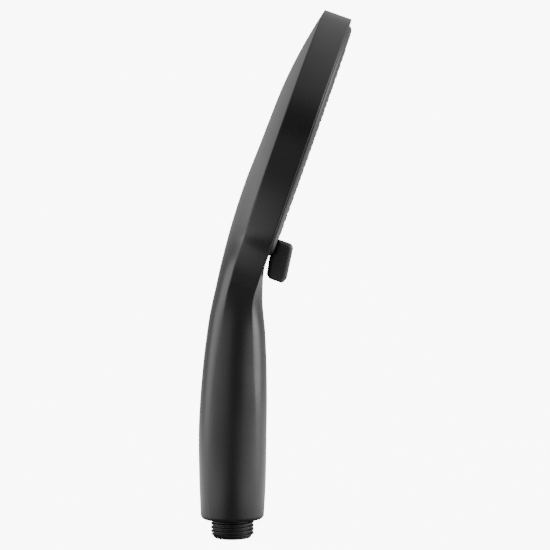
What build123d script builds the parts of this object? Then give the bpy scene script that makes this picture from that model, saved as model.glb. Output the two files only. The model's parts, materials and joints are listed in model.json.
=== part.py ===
"""Handheld shower head with a turning spray face.

The origin is the centre of the hose seal face, +Z runs up the handle, +X is the
spray side, and the object is symmetric about the XZ plane. Millimetres throughout.
Heights in the head are measured along the face normal from the front of the face
plate, so everything inside the head has a negative height.
"""
import os
from dataclasses import dataclass
from math import asin, cos, degrees, radians, sin, sqrt

from build123d import *

os.makedirs("parts", exist_ok=True)

# ---------------------------------------------------------------- overall sizes
TILT = 19.5                # lean of the spray face from upright, degrees
BEND_HEIGHT = 124.1        # where the handle axis meets the duct axis in the head
HANDLE_BOTTOM = 9.3        # height of the handle's lower end
BOTTOM_RADIUS = 15.4       # handle at its lower end
GRIP_RADIUS = 16.15        # handle at its fullest
BOTTOM_ROUND = 2.0         # rounding of the handle's lower edge
FOOT_HEIGHT = 4.0          # straight part at the handle's lower end
NECK_HALF_WIDTH = 14.0
WALL = 2.4                 # body shell wall

# ------------------------------------------------------------------------- head
HEAD_RADIUS = 62.4
RIM_FRONT = -1.9           # front plane of the rim
RIM_BACK = -15.6           # edge between the rim and the crowned back
CROWN = 8.0                # rise of the crowned back behind the rim edge
RIDGE_EXTRA = 1.0          # how far the ridge stands behind the crown
RIDGE_RADIUS = 340.0       # curve of the ridge, seen from the side
RIDGE_DROP = 30.0          # deepest point of the ridge, below the disc centre
FLARE_RADIUS = 25.0        # fillets between the disc and the neck, seen from the front
NECK_DROP = 15.1           # from the disc's lower edge to the bend of the waterway

# ---------------------------------------------------------------- turning face
FACE_RADIUS = 59.1
FACE_SKIN = 1.6
FACE_SKIRT = 6.0           # depth of the skirt
FACE_ROUND = 1.4
RIM_OPENING = 59.6
MAT_THICKNESS = 1.2
MAT_RADIUS = 51.0
NOZZLE_STAND = 0.35        # how far the nozzle tips stand proud
NOZZLE_BASE_RADIUS = 1.45
NOZZLE_TIP_RADIUS = 0.95
NOZZLE_BORE_RADIUS = 0.5
FACE_HOLE_CLEARANCE = 0.1
NOZZLE_RINGS = {8.0: 6, 15.5: 12, 23.5: 18, 31.5: 24, 39.5: 30, 46.8: 36}
CHAMBER_FRONT_THICKNESS = 1.4
CHAMBER_RADIUS = 51.5
CHAMBER_DEPTH = 4.0
CHAMBER_FLOOR = 1.2
CHAMBER_WALL = 1.2
TURBINE_POCKET_RADIUS = 10.0
MIDDLE_WALL_RADIUS = 28.0
FLANGE_RADIUS = 57.0
FLANGE_THICKNESS = 1.6
FACE_SCREW_CIRCLE = 54.4
FACE_SCREW_COUNT = 6
SELECTOR_STEP = 30.0       # degrees between two spray settings

# ------------------------------------------------------------------- thumb tab
TAB_WIDTH = 15.0
TAB_TOP = 49.9             # below the disc centre
TAB_LENGTH = 19.6
TAB_STAND = 10.3
TAB_ROUND = 2.4
TAB_SCREW_DROP = 54.6
TAB_SCREW_DEPTH = 4.5      # depth of its hole in the tab
TAB_TOP_STAND = 8.1        # how far the tab's top corner stands out
TAB_END_STAND = 9.1        # the same at its lower corner
TAB_HOOK = 1.1             # how far the tab drops behind the face front, below the plate
TAB_SLOPE = 3.0            # length of the slope at its lower corner
TAB_BACK_LOW = 2.6         # lower corner of the tab's back

# ------------------------------------------------------------ fixed spray engine
ENGINE_GAP = 2.1           # between the turning chamber and the engine base
ENGINE_THICKNESS = 4.0
ENGINE_CLEARANCE = 0.5
ENGINE_SCREW_CIRCLE = 36.0
ENGINE_SCREW_COUNT = 4
BOSS_RADIUS = 3.6
ENGINE_SCREW_RADIUS = 1.25
ENGINE_SCREW_HEAD_RADIUS = 2.7
ENGINE_SCREW_HEAD = 1.8    # height of the head
ENGINE_SCREW_SINK = 2.0    # depth of the pocket for the head
ENGINE_SCREW_PASSAGE = 1.6 # radius of its hole in the engine base
CROSS_LENGTH = 3.0         # cross recess in the screw heads
CROSS_WIDTH = 0.7
CROSS_DEPTH = 1.1
SMALL_SCREW_RADIUS = 0.93  # face screws and tab screw
SMALL_SCREW_HEAD_RADIUS = 1.9
SMALL_SCREW_HEAD = 1.0
SMALL_SCREW_PASSAGE = 1.12
FACE_BOSS_RADIUS = 2.2     # bosses for the face screws
SCREW_TIP_SPACE = 0.2      # left free beyond a screw's tip
DUCT_RADIUS = 5.4
DUCT_BORE_RADIUS = 3.0
DUCT_SOCKET_DEPTH = 7.0
DUCT_GAP = 0.4             # between the duct and the turning chamber
DUCT_SEAL_DROP = 3.0       # from the duct's lower end to its seal
PORT_CIRCLE = 14.0
PORT_BOSS_RADIUS = 6.0
PORT_SEAL_RADIUS = 4.1
PORT_HOLE_RADIUS = 2.4
PORT_BOSS_GAP = 0.5        # between the port's boss and the turning chamber
PORT_POCKET = 1.2          # depth of the seal's pocket below the engine front
PORT_SPRING_HEIGHT = 1.0
PORT_SPRING_INSET = 0.6
PORT_SPRING_TURNS = 1.6
FINE_WIRE_RADIUS = 0.18    # wire of the seal spring and the detent spring
PAD_ANGLES = (60, -60)     # places of the two support pads round the port circle
PAD_RADIUS = 3.0
PAD_POCKET = 1.2
DETENT_CIRCLE = 26.0
DETENT_RADIUS = 1.8
DETENT_DIMPLE = 0.6
DETENT_POCKET = 3.2
DETENT_BALL = 1.0          # radius of the plunger's tip
DETENT_DIMPLE_SPACE = 0.3  # round the tip in its dimple
DETENT_SPRING_HEIGHT = 1.4
DETENT_SPRING_TURNS = 2

# --------------------------------------------------------------------- spindle
SPINDLE_RADIUS = 5.0
SPINDLE_FLANGE_RADIUS = 8.0
SPINDLE_FLANGE = 0.9
SPINDLE_BOSS_RADIUS = 8.5
SPINDLE_BOSS = 1.7
AXLE_RADIUS = 1.0
TURBINE_RADIUS = 9.0
TURBINE_HUB_RADIUS = 2.6
TURBINE_BLADES = 8
WASHER_RADIUS = 7.5
CLIP_THICKNESS = 0.5
CLIP_GROOVE = 1.0          # depth of the clip's groove in the spindle
CLIP_INSET = 0.7           # the clip is this much smaller than the washer
WASHER_THICKNESS = 0.3
SPINDLE_RING_GROOVE = 1.4  # depth of the o-ring groove
SPINDLE_RING_WIDTH = 1.8
SPINDLE_RING_START = 0.8   # from the engine's rear to the groove
SPINDLE_TAIL = 1.8         # spindle behind the engine's boss
AXLE_SINK = 2.0            # depth of the axle in the spindle
TURBINE_SPACE = 0.2        # above and below the turbine
TURBINE_RING = 0.8
BLADE_THICKNESS = 0.9
BLADE_ANGLE = 12           # degrees from radial

# ---------------------------------------------------------------- inlet, G1/2
THREAD_RADIUS = 20.955 / 2
THREAD_DEPTH = 1.162
THREAD_PITCH = 1.814
THREAD_CRESTS = 4
NOSE = 1.4                 # plain length before the first crest
NOSE_CHAMFER = 0.5
THREAD_RELIEF = 0.2        # how far the plain parts lie below the thread's root
CREST_PROFILE = ((0.1, 0), (0.37, 1), (0.63, 1), (0.9, 0))  # shares of pitch and depth
COLLAR_Z = 9.9
SPIGOT_RADIUS = 10.7
CONNECTOR_TOP = 30.0
CARTRIDGE_BORE_RADIUS = 7.0
CARTRIDGE_TOP = 19.4
O_RING_GROOVE = 1.5        # depth of the groove round the spigot
O_RING_Z = 15.0
SNAP_RING_Z = 20.6
SNAP_RING_DEPTH = 0.8      # depth in each of the two facing grooves
SNAP_RING_HEIGHT = 1.4
SNAP_RING_ARC = 325        # degrees, the rest is its opening
INNER_FLOOR = 6.0          # solid handle above the inlet

# -------------------------------------------------------------- waterway tube
TUBE_RADIUS = 4.0
TUBE_BORE_RADIUS = 3.0
TUBE_BOTTOM = 22.8
TUBE_BEND_RADIUS = 40.0
TUBE_SEAL = 0.9            # depth of the two tube seal grooves
TUBE_SEAL_WIDTH = 1.5
TUBE_SEAL_DEPTH = 3.25     # below the inlet's top, to the seal's middle
TUBE_HOLE_SPACE = 0.6      # round the tube in the handle

# ------------------------------------------------------- cartridges in the inlet
SCREEN_Z = 1.4
SCREEN_HEIGHT = 1.6
SCREEN_RING = 1.3
SCREEN_HOLE_RADIUS = 0.55
SCREEN_HOLES = {1.5: 4, 3.0: 9, 4.5: 14}
REGULATOR_BODY = 1.8
REGULATOR_HEIGHT = 3.4
REGULATOR_HUB_RADIUS = 1.8
REGULATOR_RING = 0.7       # section radius of its o-ring
REGULATOR_HOLE_CIRCLE = 4.4
REGULATOR_HOLE_RADIUS = 0.7
REGULATOR_HOLES = 8
VALVE_HEIGHT = 12.2
VALVE_WALL = 1.3
VALVE_SEAT = 1.6
VALVE_PORT_RADIUS = 3.5
VALVE_GUIDE = 1.4
VALVE_SPOKES = 3
VALVE_SPOKE_WIDTH = 1.4
POPPET_RADIUS = 4.8
POPPET_DISC = 1.2
POPPET_CONE_SPACE = 0.4    # between the poppet's cone and the port
POPPET_CONE_TIP = 1.2
POPPET_TIP_HEIGHT = 0.3    # cone tip above the housing's lower end
STEM_END_SPACE = 0.4       # stem end below the housing's top
STEM_RADIUS = 1.0
VALVE_SEAL = 0.45
SPRING_WIRE_RADIUS = 0.3
SPRING_RADIUS = 2.3
SPRING_TURNS = 5

# ------------------------------------------------------------------ clearances
FIT = 0.1                  # between pieces that locate in each other
RUNNING = 0.06             # between a shaft and its bore
TOUCH = 0.05               # between pieces that rest on each other across a joint
SQUEEZE = 0.02             # between a seal and the walls it presses on
THROUGH = 1.0              # how far a cutter runs past what it cuts

# ------------------------------------------------------------- derived places
LEAN = radians(TILT)
UP_FACE = Vector(sin(LEAN), 0, cos(LEAN))
NORMAL = Vector(cos(LEAN), 0, -sin(LEAN))
CHAMBER_FRONT_REAR = -(FACE_SKIN + MAT_THICKNESS + CHAMBER_FRONT_THICKNESS)
CHAMBER_REAR = CHAMBER_FRONT_REAR - CHAMBER_DEPTH
CHAMBER_INSIDE = CHAMBER_REAR + CHAMBER_FLOOR
ENGINE_FRONT = CHAMBER_REAR - ENGINE_GAP
ENGINE_REAR = ENGINE_FRONT - ENGINE_THICKNESS
DUCT_DEPTH = CHAMBER_REAR - DUCT_GAP - DUCT_RADIUS
FACE_CENTRE = (
    Vector(0, 0, BEND_HEIGHT) + UP_FACE * (HEAD_RADIUS + NECK_DROP) - NORMAL * DUCT_DEPTH
)
HEAD = Plane(origin=FACE_CENTRE, x_dir=UP_FACE, z_dir=NORMAL)
HEAD_SECTION = Plane(origin=FACE_CENTRE, x_dir=UP_FACE, z_dir=Vector(0, 1, 0))
FACE_AXIS = Axis(FACE_CENTRE, NORMAL)
CROWN_APEX = RIM_BACK - CROWN
CROWN_RADIUS = (HEAD_RADIUS**2 + CROWN**2) / (2 * CROWN)
CROWN_CENTRE = CROWN_APEX + CROWN_RADIUS
BORE_RADIUS = SPIGOT_RADIUS + FIT
INNER_BOTTOM = CONNECTOR_TOP + INNER_FLOOR
CARTRIDGE_RADIUS = CARTRIDGE_BORE_RADIUS - FIT
REGULATOR_Z = SCREEN_Z + SCREEN_HEIGHT + FIT
VALVE_Z = REGULATOR_Z + REGULATOR_HEIGHT + FIT
VALVE_TOP = VALVE_Z + VALVE_HEIGHT
SEAT_TOP = VALVE_Z + VALVE_SEAT
POPPET_Z = SEAT_TOP + TOUCH + VALVE_SEAL
POPPET_TOP = POPPET_Z + POPPET_DISC
GUIDE_Z = VALVE_TOP - VALVE_GUIDE
DUCT_END = HEAD_RADIUS - WALL      # lower end of the duct, below the disc centre


def crown_radius_at(height, wall=0.0):
    """Distance from the face axis to the crowned back, moved in by wall, at a height."""
    return sqrt((CROWN_RADIUS - wall) ** 2 - (CROWN_CENTRE - height) ** 2)


ENGINE_RADIUS = crown_radius_at(ENGINE_REAR, WALL) - ENGINE_CLEARANCE


def band(inner, outer, low, high, mode=Mode.ADD):
    """Half section of a ring, or of a disc where inner is 0, in the current sketch."""
    with Locations(((inner + outer) / 2, (low + high) / 2)):
        Rectangle(outer - inner, high - low, mode=mode)


def crowned_half_section(radius, front, wall):
    """Half section of the disc with its crowned back, moved in by wall."""
    band(0, radius, CROWN_APEX, front)
    with Locations((0, CROWN_CENTRE)):
        Circle(CROWN_RADIUS - wall, mode=Mode.INTERSECT)


def ring_section(radius, height, section_radius):
    """Section of an o-ring in the current sketch."""
    with Locations((radius, height)):
        Circle(section_radius)


def save(builder, name):
    builder.part.label = name
    export_step(builder.part, f"parts/{name}.step")


# --------------------------------------------------- stations of handle and neck
@dataclass
class Station:
    """One cross section: back arc, side, front arc, side, in the plane's own x and y."""

    plane: Plane
    back: float
    back_edge: float
    front_edge: float
    front: float
    edge: float          # half width where the sides meet the back and front
    side: float          # half width at mid depth


def handle_plane(height, tilt):
    angle = radians(tilt)
    return Plane(
        origin=(0, 0, height),
        x_dir=(cos(angle), 0, -sin(angle)),
        z_dir=(sin(angle), 0, cos(angle)),
    )


def head_plane(drop):
    """Plane square to the disc, at a distance below its centre; x is the height."""
    return Plane(origin=FACE_CENTRE - UP_FACE * drop, x_dir=NORMAL, z_dir=UP_FACE)


def round_station(height, radius):
    edge = radius * sqrt(0.5)
    return Station(handle_plane(height, 0), -radius, -edge, edge, radius, edge, radius)


def ridge(drop):
    return CROWN_APEX - RIDGE_EXTRA + (drop - RIDGE_DROP) ** 2 / (2 * RIDGE_RADIUS)


FLARE_LATERAL = NECK_HALF_WIDTH + FLARE_RADIUS
FLARE_DROP = sqrt((HEAD_RADIUS + FLARE_RADIUS) ** 2 - FLARE_LATERAL**2)
FLARE_START = HEAD_RADIUS * FLARE_DROP / (HEAD_RADIUS + FLARE_RADIUS)
FLARE_START_HALF_WIDTH = HEAD_RADIUS * FLARE_LATERAL / (HEAD_RADIUS + FLARE_RADIUS)


def neck_station(drop, front_rise, half_width=NECK_HALF_WIDTH, sink=0.0):
    """A section of the neck, square to the disc, at a distance below its centre."""
    crown = CROWN_CENTRE - sqrt(CROWN_RADIUS**2 - drop**2)
    back_edge = RIM_BACK if drop > FLARE_START else crown + 2.5
    front_edge = RIM_FRONT + 0.35 * front_rise
    return Station(
        head_plane(drop),
        ridge(drop) + sink,
        back_edge,
        front_edge,
        front_edge + 0.3 + 0.65 * front_rise,
        half_width,
        half_width + 0.1,
    )


OUTER_STATIONS = [
    round_station(HANDLE_BOTTOM + FOOT_HEIGHT, BOTTOM_RADIUS),
    round_station(BEND_HEIGHT - 72, GRIP_RADIUS),
    Station(
        handle_plane(BEND_HEIGHT - 48, 2),
        1.5 - GRIP_RADIUS,
        -8.2,
        10.4,
        GRIP_RADIUS + 0.2,
        GRIP_RADIUS - 3.4,
        GRIP_RADIUS - 0.6,
    ),
    Station(
        handle_plane(BEND_HEIGHT - 26, 8),
        -11.7,
        -5.3,
        10.0,
        15.7,
        NECK_HALF_WIDTH - 0.4,
        NECK_HALF_WIDTH + 0.7,
    ),
    Station(
        handle_plane(BEND_HEIGHT - 12, 14),
        -9.7,
        -4.1,
        10.8,
        15.4,
        NECK_HALF_WIDTH - 0.1,
        NECK_HALF_WIDTH + 0.2,
    ),
    neck_station(FLARE_DROP, 3.4),
    neck_station(FLARE_DROP - 7, 1.4),
    neck_station(FLARE_DROP - 14, -0.6),
    neck_station(FLARE_DROP - 24, -3.0),
    neck_station(FLARE_DROP - 38, -5.0),
    neck_station(FLARE_DROP - 58, -6.0, NECK_HALF_WIDTH - 1.5),
    neck_station(FLARE_DROP - 80, -6.0, NECK_HALF_WIDTH - 5.0, sink=1.8),
]


def moved_in(station, wall):
    """The same section, smaller by a wall all round."""
    return Station(
        station.plane,
        station.back + wall,
        station.back_edge + wall * 0.4,
        station.front_edge - wall * 0.4,
        station.front - wall,
        station.edge - wall,
        station.side - wall,
    )


INNER_STATIONS = [
    round_station(INNER_BOTTOM, BOTTOM_RADIUS + 0.4 - WALL),
    *(moved_in(station, WALL) for station in OUTER_STATIONS[1:-1]),
]


def outline_points(station):
    """The four corners of a section and the middle of each arc between them."""
    corners = [
        (station.back_edge, -station.edge),
        (station.back_edge, station.edge),
        (station.front_edge, station.edge),
        (station.front_edge, -station.edge),
    ]
    middle = (station.back_edge + station.front_edge) / 2
    middles = [
        (station.back, 0),
        (middle, station.side),
        (station.front, 0),
        (middle, -station.side),
    ]
    return corners, middles


def lofted(stations):
    """The solid through a run of sections, as one part."""
    with BuildPart() as form:
        for station in stations:
            corners, middles = outline_points(station)
            with BuildSketch(station.plane):
                with BuildLine():
                    for index, middle in enumerate(middles):
                        ThreePointArc(corners[index], middle, corners[(index + 1) % 4])
                make_face()
        loft()
    return form.part


# ------------------------------------------------------------------ body shell
NECK_INDEX = 5             # the section that the handle and the neck share
CROWN_BESIDE_BOSS = CROWN_CENTRE - sqrt(
    (CROWN_RADIUS - WALL / 2) ** 2 - (ENGINE_SCREW_CIRCLE + BOSS_RADIUS) ** 2
)
BOSS_DEPTH = ENGINE_REAR - CROWN_BESIDE_BOSS
with BuildPart() as body_shell:
    # the foot of the handle, with its lower edge rounded
    with BuildSketch(Plane.XY.offset(HANDLE_BOTTOM)):
        Circle(BOTTOM_RADIUS)
    extrude(amount=FOOT_HEIGHT)
    fillet(body_shell.edges().group_by(Axis.Z)[0], BOTTOM_ROUND)
    # the handle, its neck and the ridge on the back of the disc
    add(lofted(OUTER_STATIONS[: NECK_INDEX + 1]))
    add(lofted(OUTER_STATIONS[NECK_INDEX:]))
    # the disc with its crowned back
    with BuildSketch(HEAD_SECTION):
        crowned_half_section(HEAD_RADIUS, RIM_FRONT, 0)
    revolve(axis=FACE_AXIS)
    # the flare between the disc and the neck
    with BuildSketch(HEAD.offset(RIM_BACK)):
        with Locations((-(FLARE_START + FLARE_DROP) / 2, 0)):
            Rectangle(FLARE_DROP - FLARE_START, 2 * FLARE_START_HALF_WIDTH)
        with Locations((-FLARE_DROP, FLARE_LATERAL), (-FLARE_DROP, -FLARE_LATERAL)):
            Circle(FLARE_RADIUS, mode=Mode.SUBTRACT)
    extrude(amount=RIM_FRONT - RIM_BACK)
    # the hollow of the handle and of the head
    add(lofted(INNER_STATIONS[: NECK_INDEX + 1]), mode=Mode.SUBTRACT)
    add(lofted(INNER_STATIONS[NECK_INDEX:]), mode=Mode.SUBTRACT)
    with BuildSketch(HEAD_SECTION):
        crowned_half_section(RIM_OPENING, RIM_FRONT + THROUGH, WALL)
    revolve(axis=FACE_AXIS, mode=Mode.SUBTRACT)
    # bosses for the engine screws, down to the crowned back
    with BuildSketch(HEAD.offset(ENGINE_REAR)):
        with PolarLocations(ENGINE_SCREW_CIRCLE, ENGINE_SCREW_COUNT, start_angle=45):
            Circle(BOSS_RADIUS)
    extrude(amount=-BOSS_DEPTH)
    with BuildSketch(HEAD.offset(ENGINE_REAR)):
        with PolarLocations(ENGINE_SCREW_CIRCLE, ENGINE_SCREW_COUNT, start_angle=45):
            Circle(ENGINE_SCREW_RADIUS)
    extrude(amount=-BOSS_DEPTH, mode=Mode.SUBTRACT)
    # bore for the inlet, with the snap ring groove, and the hole for the tube
    with BuildSketch(Plane.XZ):
        band(0, BORE_RADIUS, HANDLE_BOTTOM - THROUGH, CONNECTOR_TOP + FIT)
        band(0, BORE_RADIUS + SNAP_RING_DEPTH, SNAP_RING_Z, SNAP_RING_Z + SNAP_RING_HEIGHT)
        band(0, TUBE_RADIUS + TUBE_HOLE_SPACE, CONNECTOR_TOP, INNER_BOTTOM + THROUGH)
    revolve(axis=Axis.Z, mode=Mode.SUBTRACT)
save(body_shell, "body_shell")

# ------------------------------------------------------------- inlet connector
THREAD_ROOT_RADIUS = THREAD_RADIUS - THREAD_DEPTH
THREAD_TOP = NOSE + THREAD_CRESTS * THREAD_PITCH
with BuildPart() as inlet_connector:
    with BuildSketch(Plane.XZ):
        band(0, THREAD_ROOT_RADIUS, 0, THREAD_TOP)
        for turn in range(THREAD_CRESTS):
            low = NOSE + turn * THREAD_PITCH
            Polygon(
                *(
                    (THREAD_ROOT_RADIUS + depth * THREAD_DEPTH, low + share * THREAD_PITCH)
                    for share, depth in CREST_PROFILE
                ),
                align=None,
            )
        band(0, THREAD_ROOT_RADIUS - THREAD_RELIEF, 0, COLLAR_Z + FIT)
        band(0, SPIGOT_RADIUS, COLLAR_Z, CONNECTOR_TOP)
        band(SPIGOT_RADIUS - O_RING_GROOVE, SPIGOT_RADIUS + THROUGH, O_RING_Z - 1,
             O_RING_Z + 1, mode=Mode.SUBTRACT)
        band(SPIGOT_RADIUS - SNAP_RING_DEPTH, SPIGOT_RADIUS + THROUGH, SNAP_RING_Z,
             SNAP_RING_Z + SNAP_RING_HEIGHT, mode=Mode.SUBTRACT)
        band(0, CARTRIDGE_BORE_RADIUS, -THROUGH, CARTRIDGE_TOP, mode=Mode.SUBTRACT)
        band(0, TUBE_BORE_RADIUS, 0, TUBE_BOTTOM, mode=Mode.SUBTRACT)
        band(0, TUBE_RADIUS + FIT, TUBE_BOTTOM - FIT, CONNECTOR_TOP + THROUGH,
             mode=Mode.SUBTRACT)
        band(0, TUBE_RADIUS + TUBE_SEAL, CONNECTOR_TOP - TUBE_SEAL_DEPTH - TUBE_SEAL_WIDTH / 2,
             CONNECTOR_TOP - TUBE_SEAL_DEPTH + TUBE_SEAL_WIDTH / 2, mode=Mode.SUBTRACT)
    revolve(axis=Axis.Z)
    chamfer(
        inlet_connector.edges().filter_by(GeomType.CIRCLE).group_by(Axis.Z)[0].sort_by(
            SortBy.RADIUS
        )[-1],
        NOSE_CHAMFER,
    )
save(inlet_connector, "inlet_connector")

with BuildPart() as connector_o_ring:
    section_radius = (O_RING_GROOVE + FIT) / 2 - SQUEEZE
    with BuildSketch(Plane.XZ):
        ring_section(BORE_RADIUS - SQUEEZE - section_radius, O_RING_Z, section_radius)
    revolve(axis=Axis.Z)
save(connector_o_ring, "connector_o_ring")

with BuildPart() as connector_snap_ring:
    with BuildSketch(Plane.XZ):
        band(
            SPIGOT_RADIUS - SNAP_RING_DEPTH + FIT,
            BORE_RADIUS + SNAP_RING_DEPTH - FIT,
            SNAP_RING_Z + FIT,
            SNAP_RING_Z + SNAP_RING_HEIGHT - FIT,
        )
    revolve(axis=Axis.Z, revolution_arc=SNAP_RING_ARC)
save(connector_snap_ring, "connector_snap_ring")

# --------------------------------------------------- cartridges inside the inlet
with BuildPart() as inlet_screen:
    with BuildSketch(Plane.XY.offset(SCREEN_Z)):
        Circle(CARTRIDGE_RADIUS)
    extrude(amount=SCREEN_HEIGHT)
    with BuildSketch(Plane.XY.offset(SCREEN_Z + SCREEN_HEIGHT / 2)):
        Circle(CARTRIDGE_RADIUS - SCREEN_RING)
    extrude(amount=SCREEN_HEIGHT, mode=Mode.SUBTRACT)
    with BuildSketch(Plane.XY.offset(SCREEN_Z)):
        for ring_radius, count in SCREEN_HOLES.items():
            with PolarLocations(ring_radius, count):
                Circle(SCREEN_HOLE_RADIUS)
    extrude(amount=SCREEN_HEIGHT, mode=Mode.SUBTRACT)
save(inlet_screen, "inlet_screen")

with BuildPart() as flow_regulator:
    with BuildSketch(Plane.XZ):
        band(0, CARTRIDGE_RADIUS, REGULATOR_Z, REGULATOR_Z + REGULATOR_BODY)
        band(0, REGULATOR_HUB_RADIUS, REGULATOR_Z, REGULATOR_Z + REGULATOR_HEIGHT)
        band(CARTRIDGE_RADIUS - VALVE_WALL, CARTRIDGE_RADIUS, REGULATOR_Z,
             REGULATOR_Z + REGULATOR_HEIGHT)
    revolve(axis=Axis.Z)
    with BuildSketch(Plane.XY.offset(REGULATOR_Z)):
        with PolarLocations(REGULATOR_HOLE_CIRCLE, REGULATOR_HOLES):
            Circle(REGULATOR_HOLE_RADIUS)
    extrude(amount=REGULATOR_HEIGHT, mode=Mode.SUBTRACT)
save(flow_regulator, "flow_regulator")

with BuildPart() as flow_regulator_o_ring:
    with BuildSketch(Plane.XZ):
        ring_section(
            REGULATOR_HUB_RADIUS + REGULATOR_RING + SQUEEZE,
            REGULATOR_Z + REGULATOR_BODY + REGULATOR_RING + SQUEEZE,
            REGULATOR_RING,
        )
    revolve(axis=Axis.Z)
save(flow_regulator_o_ring, "flow_regulator_o_ring")

with BuildPart() as check_valve_housing:
    with BuildSketch(Plane.XZ):
        band(0, CARTRIDGE_RADIUS, VALVE_Z, VALVE_TOP)
        band(0, CARTRIDGE_RADIUS - VALVE_WALL, SEAT_TOP, GUIDE_Z, mode=Mode.SUBTRACT)
        band(0, VALVE_PORT_RADIUS, VALVE_Z - THROUGH, SEAT_TOP, mode=Mode.SUBTRACT)
        band(0, STEM_RADIUS + RUNNING, GUIDE_Z, VALVE_TOP + THROUGH, mode=Mode.SUBTRACT)
    revolve(axis=Axis.Z)
    # water windows between the spokes of the stem guide
    with BuildSketch(Plane.XY.offset(GUIDE_Z)):
        Circle(CARTRIDGE_RADIUS - VALVE_WALL)
        Circle(SPRING_RADIUS + SPRING_WIRE_RADIUS, mode=Mode.SUBTRACT)
        with PolarLocations(CARTRIDGE_RADIUS / 2, VALVE_SPOKES):
            Rectangle(CARTRIDGE_RADIUS, VALVE_SPOKE_WIDTH, mode=Mode.SUBTRACT)
    extrude(amount=VALVE_GUIDE + THROUGH, mode=Mode.SUBTRACT)
save(check_valve_housing, "check_valve_housing")

with BuildPart() as check_valve_poppet:
    with BuildSketch(Plane.XZ):
        band(0, POPPET_RADIUS, POPPET_Z, POPPET_TOP)
        band(0, STEM_RADIUS, POPPET_TOP, VALVE_TOP - STEM_END_SPACE)
        Polygon(
            (0, POPPET_Z),
            (VALVE_PORT_RADIUS - POPPET_CONE_SPACE, POPPET_Z),
            (POPPET_CONE_TIP, VALVE_Z + POPPET_TIP_HEIGHT),
            (0, VALVE_Z + POPPET_TIP_HEIGHT),
            align=None,
        )
    revolve(axis=Axis.Z)
save(check_valve_poppet, "check_valve_poppet")

with BuildPart() as check_valve_seal:
    with BuildSketch(Plane.XZ):
        band(VALVE_PORT_RADIUS - POPPET_CONE_SPACE + TOUCH, POPPET_RADIUS, SEAT_TOP + TOUCH, POPPET_Z)
    revolve(axis=Axis.Z)
save(check_valve_seal, "check_valve_seal")


def coil_spring(plane, height, radius, wire_radius, turns):
    """A compression spring standing on a plane, wound along the plane's normal."""
    rise = height - 2 * wire_radius
    with BuildPart() as spring:
        with BuildLine() as path:
            Helix(
                pitch=rise / turns,
                height=rise,
                radius=radius,
                center=plane.offset(wire_radius).origin,
                direction=plane.z_dir,
            )
        with BuildSketch(Plane(origin=path.line @ 0, z_dir=path.line % 0)):
            Circle(wire_radius)
        sweep(path=path.line, is_frenet=True)
    return spring


check_valve_spring = coil_spring(
    Plane.XY.offset(POPPET_TOP + SQUEEZE),
    GUIDE_Z - POPPET_TOP - 2 * SQUEEZE,
    SPRING_RADIUS - SPRING_WIRE_RADIUS,
    SPRING_WIRE_RADIUS,
    SPRING_TURNS,
)
save(check_valve_spring, "check_valve_spring")

# --------------------------------------------------------------- waterway tube
TUBE_END = DUCT_END - DUCT_SOCKET_DEPTH + FIT     # upper end, below the disc centre
with BuildPart() as waterway_tube:
    with BuildLine() as tube_path:
        FilletPolyline(
            (0, 0, TUBE_BOTTOM),
            (0, 0, BEND_HEIGHT),
            FACE_CENTRE - UP_FACE * TUBE_END + NORMAL * DUCT_DEPTH,
            radius=TUBE_BEND_RADIUS,
        )
    with BuildSketch(Plane.XY.offset(TUBE_BOTTOM)):
        Circle(TUBE_RADIUS)
        Circle(TUBE_BORE_RADIUS, mode=Mode.SUBTRACT)
    sweep(path=tube_path.line)
save(waterway_tube, "waterway_tube")

TUBE_SEAL_SECTION = TUBE_SEAL / 2 - SQUEEZE
with BuildPart() as tube_lower_o_ring:
    with BuildSketch(Plane.XZ):
        ring_section(
            TUBE_RADIUS + SQUEEZE + TUBE_SEAL_SECTION,
            CONNECTOR_TOP - TUBE_SEAL_DEPTH,
            TUBE_SEAL_SECTION,
        )
    revolve(axis=Axis.Z)
save(tube_lower_o_ring, "tube_lower_o_ring")

DUCT_AXIS = Axis(FACE_CENTRE + NORMAL * DUCT_DEPTH, UP_FACE)
DUCT_SECTION = Plane(
    origin=FACE_CENTRE + NORMAL * DUCT_DEPTH, x_dir=NORMAL, z_dir=Vector(0, -1, 0)
)
UPPER_SEAL_DROP = DUCT_END - DUCT_SEAL_DROP
with BuildPart() as tube_upper_o_ring:
    with BuildSketch(DUCT_SECTION):
        ring_section(
            TUBE_RADIUS + SQUEEZE + TUBE_SEAL_SECTION, -UPPER_SEAL_DROP, TUBE_SEAL_SECTION
        )
    revolve(axis=DUCT_AXIS)
save(tube_upper_o_ring, "tube_upper_o_ring")

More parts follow.
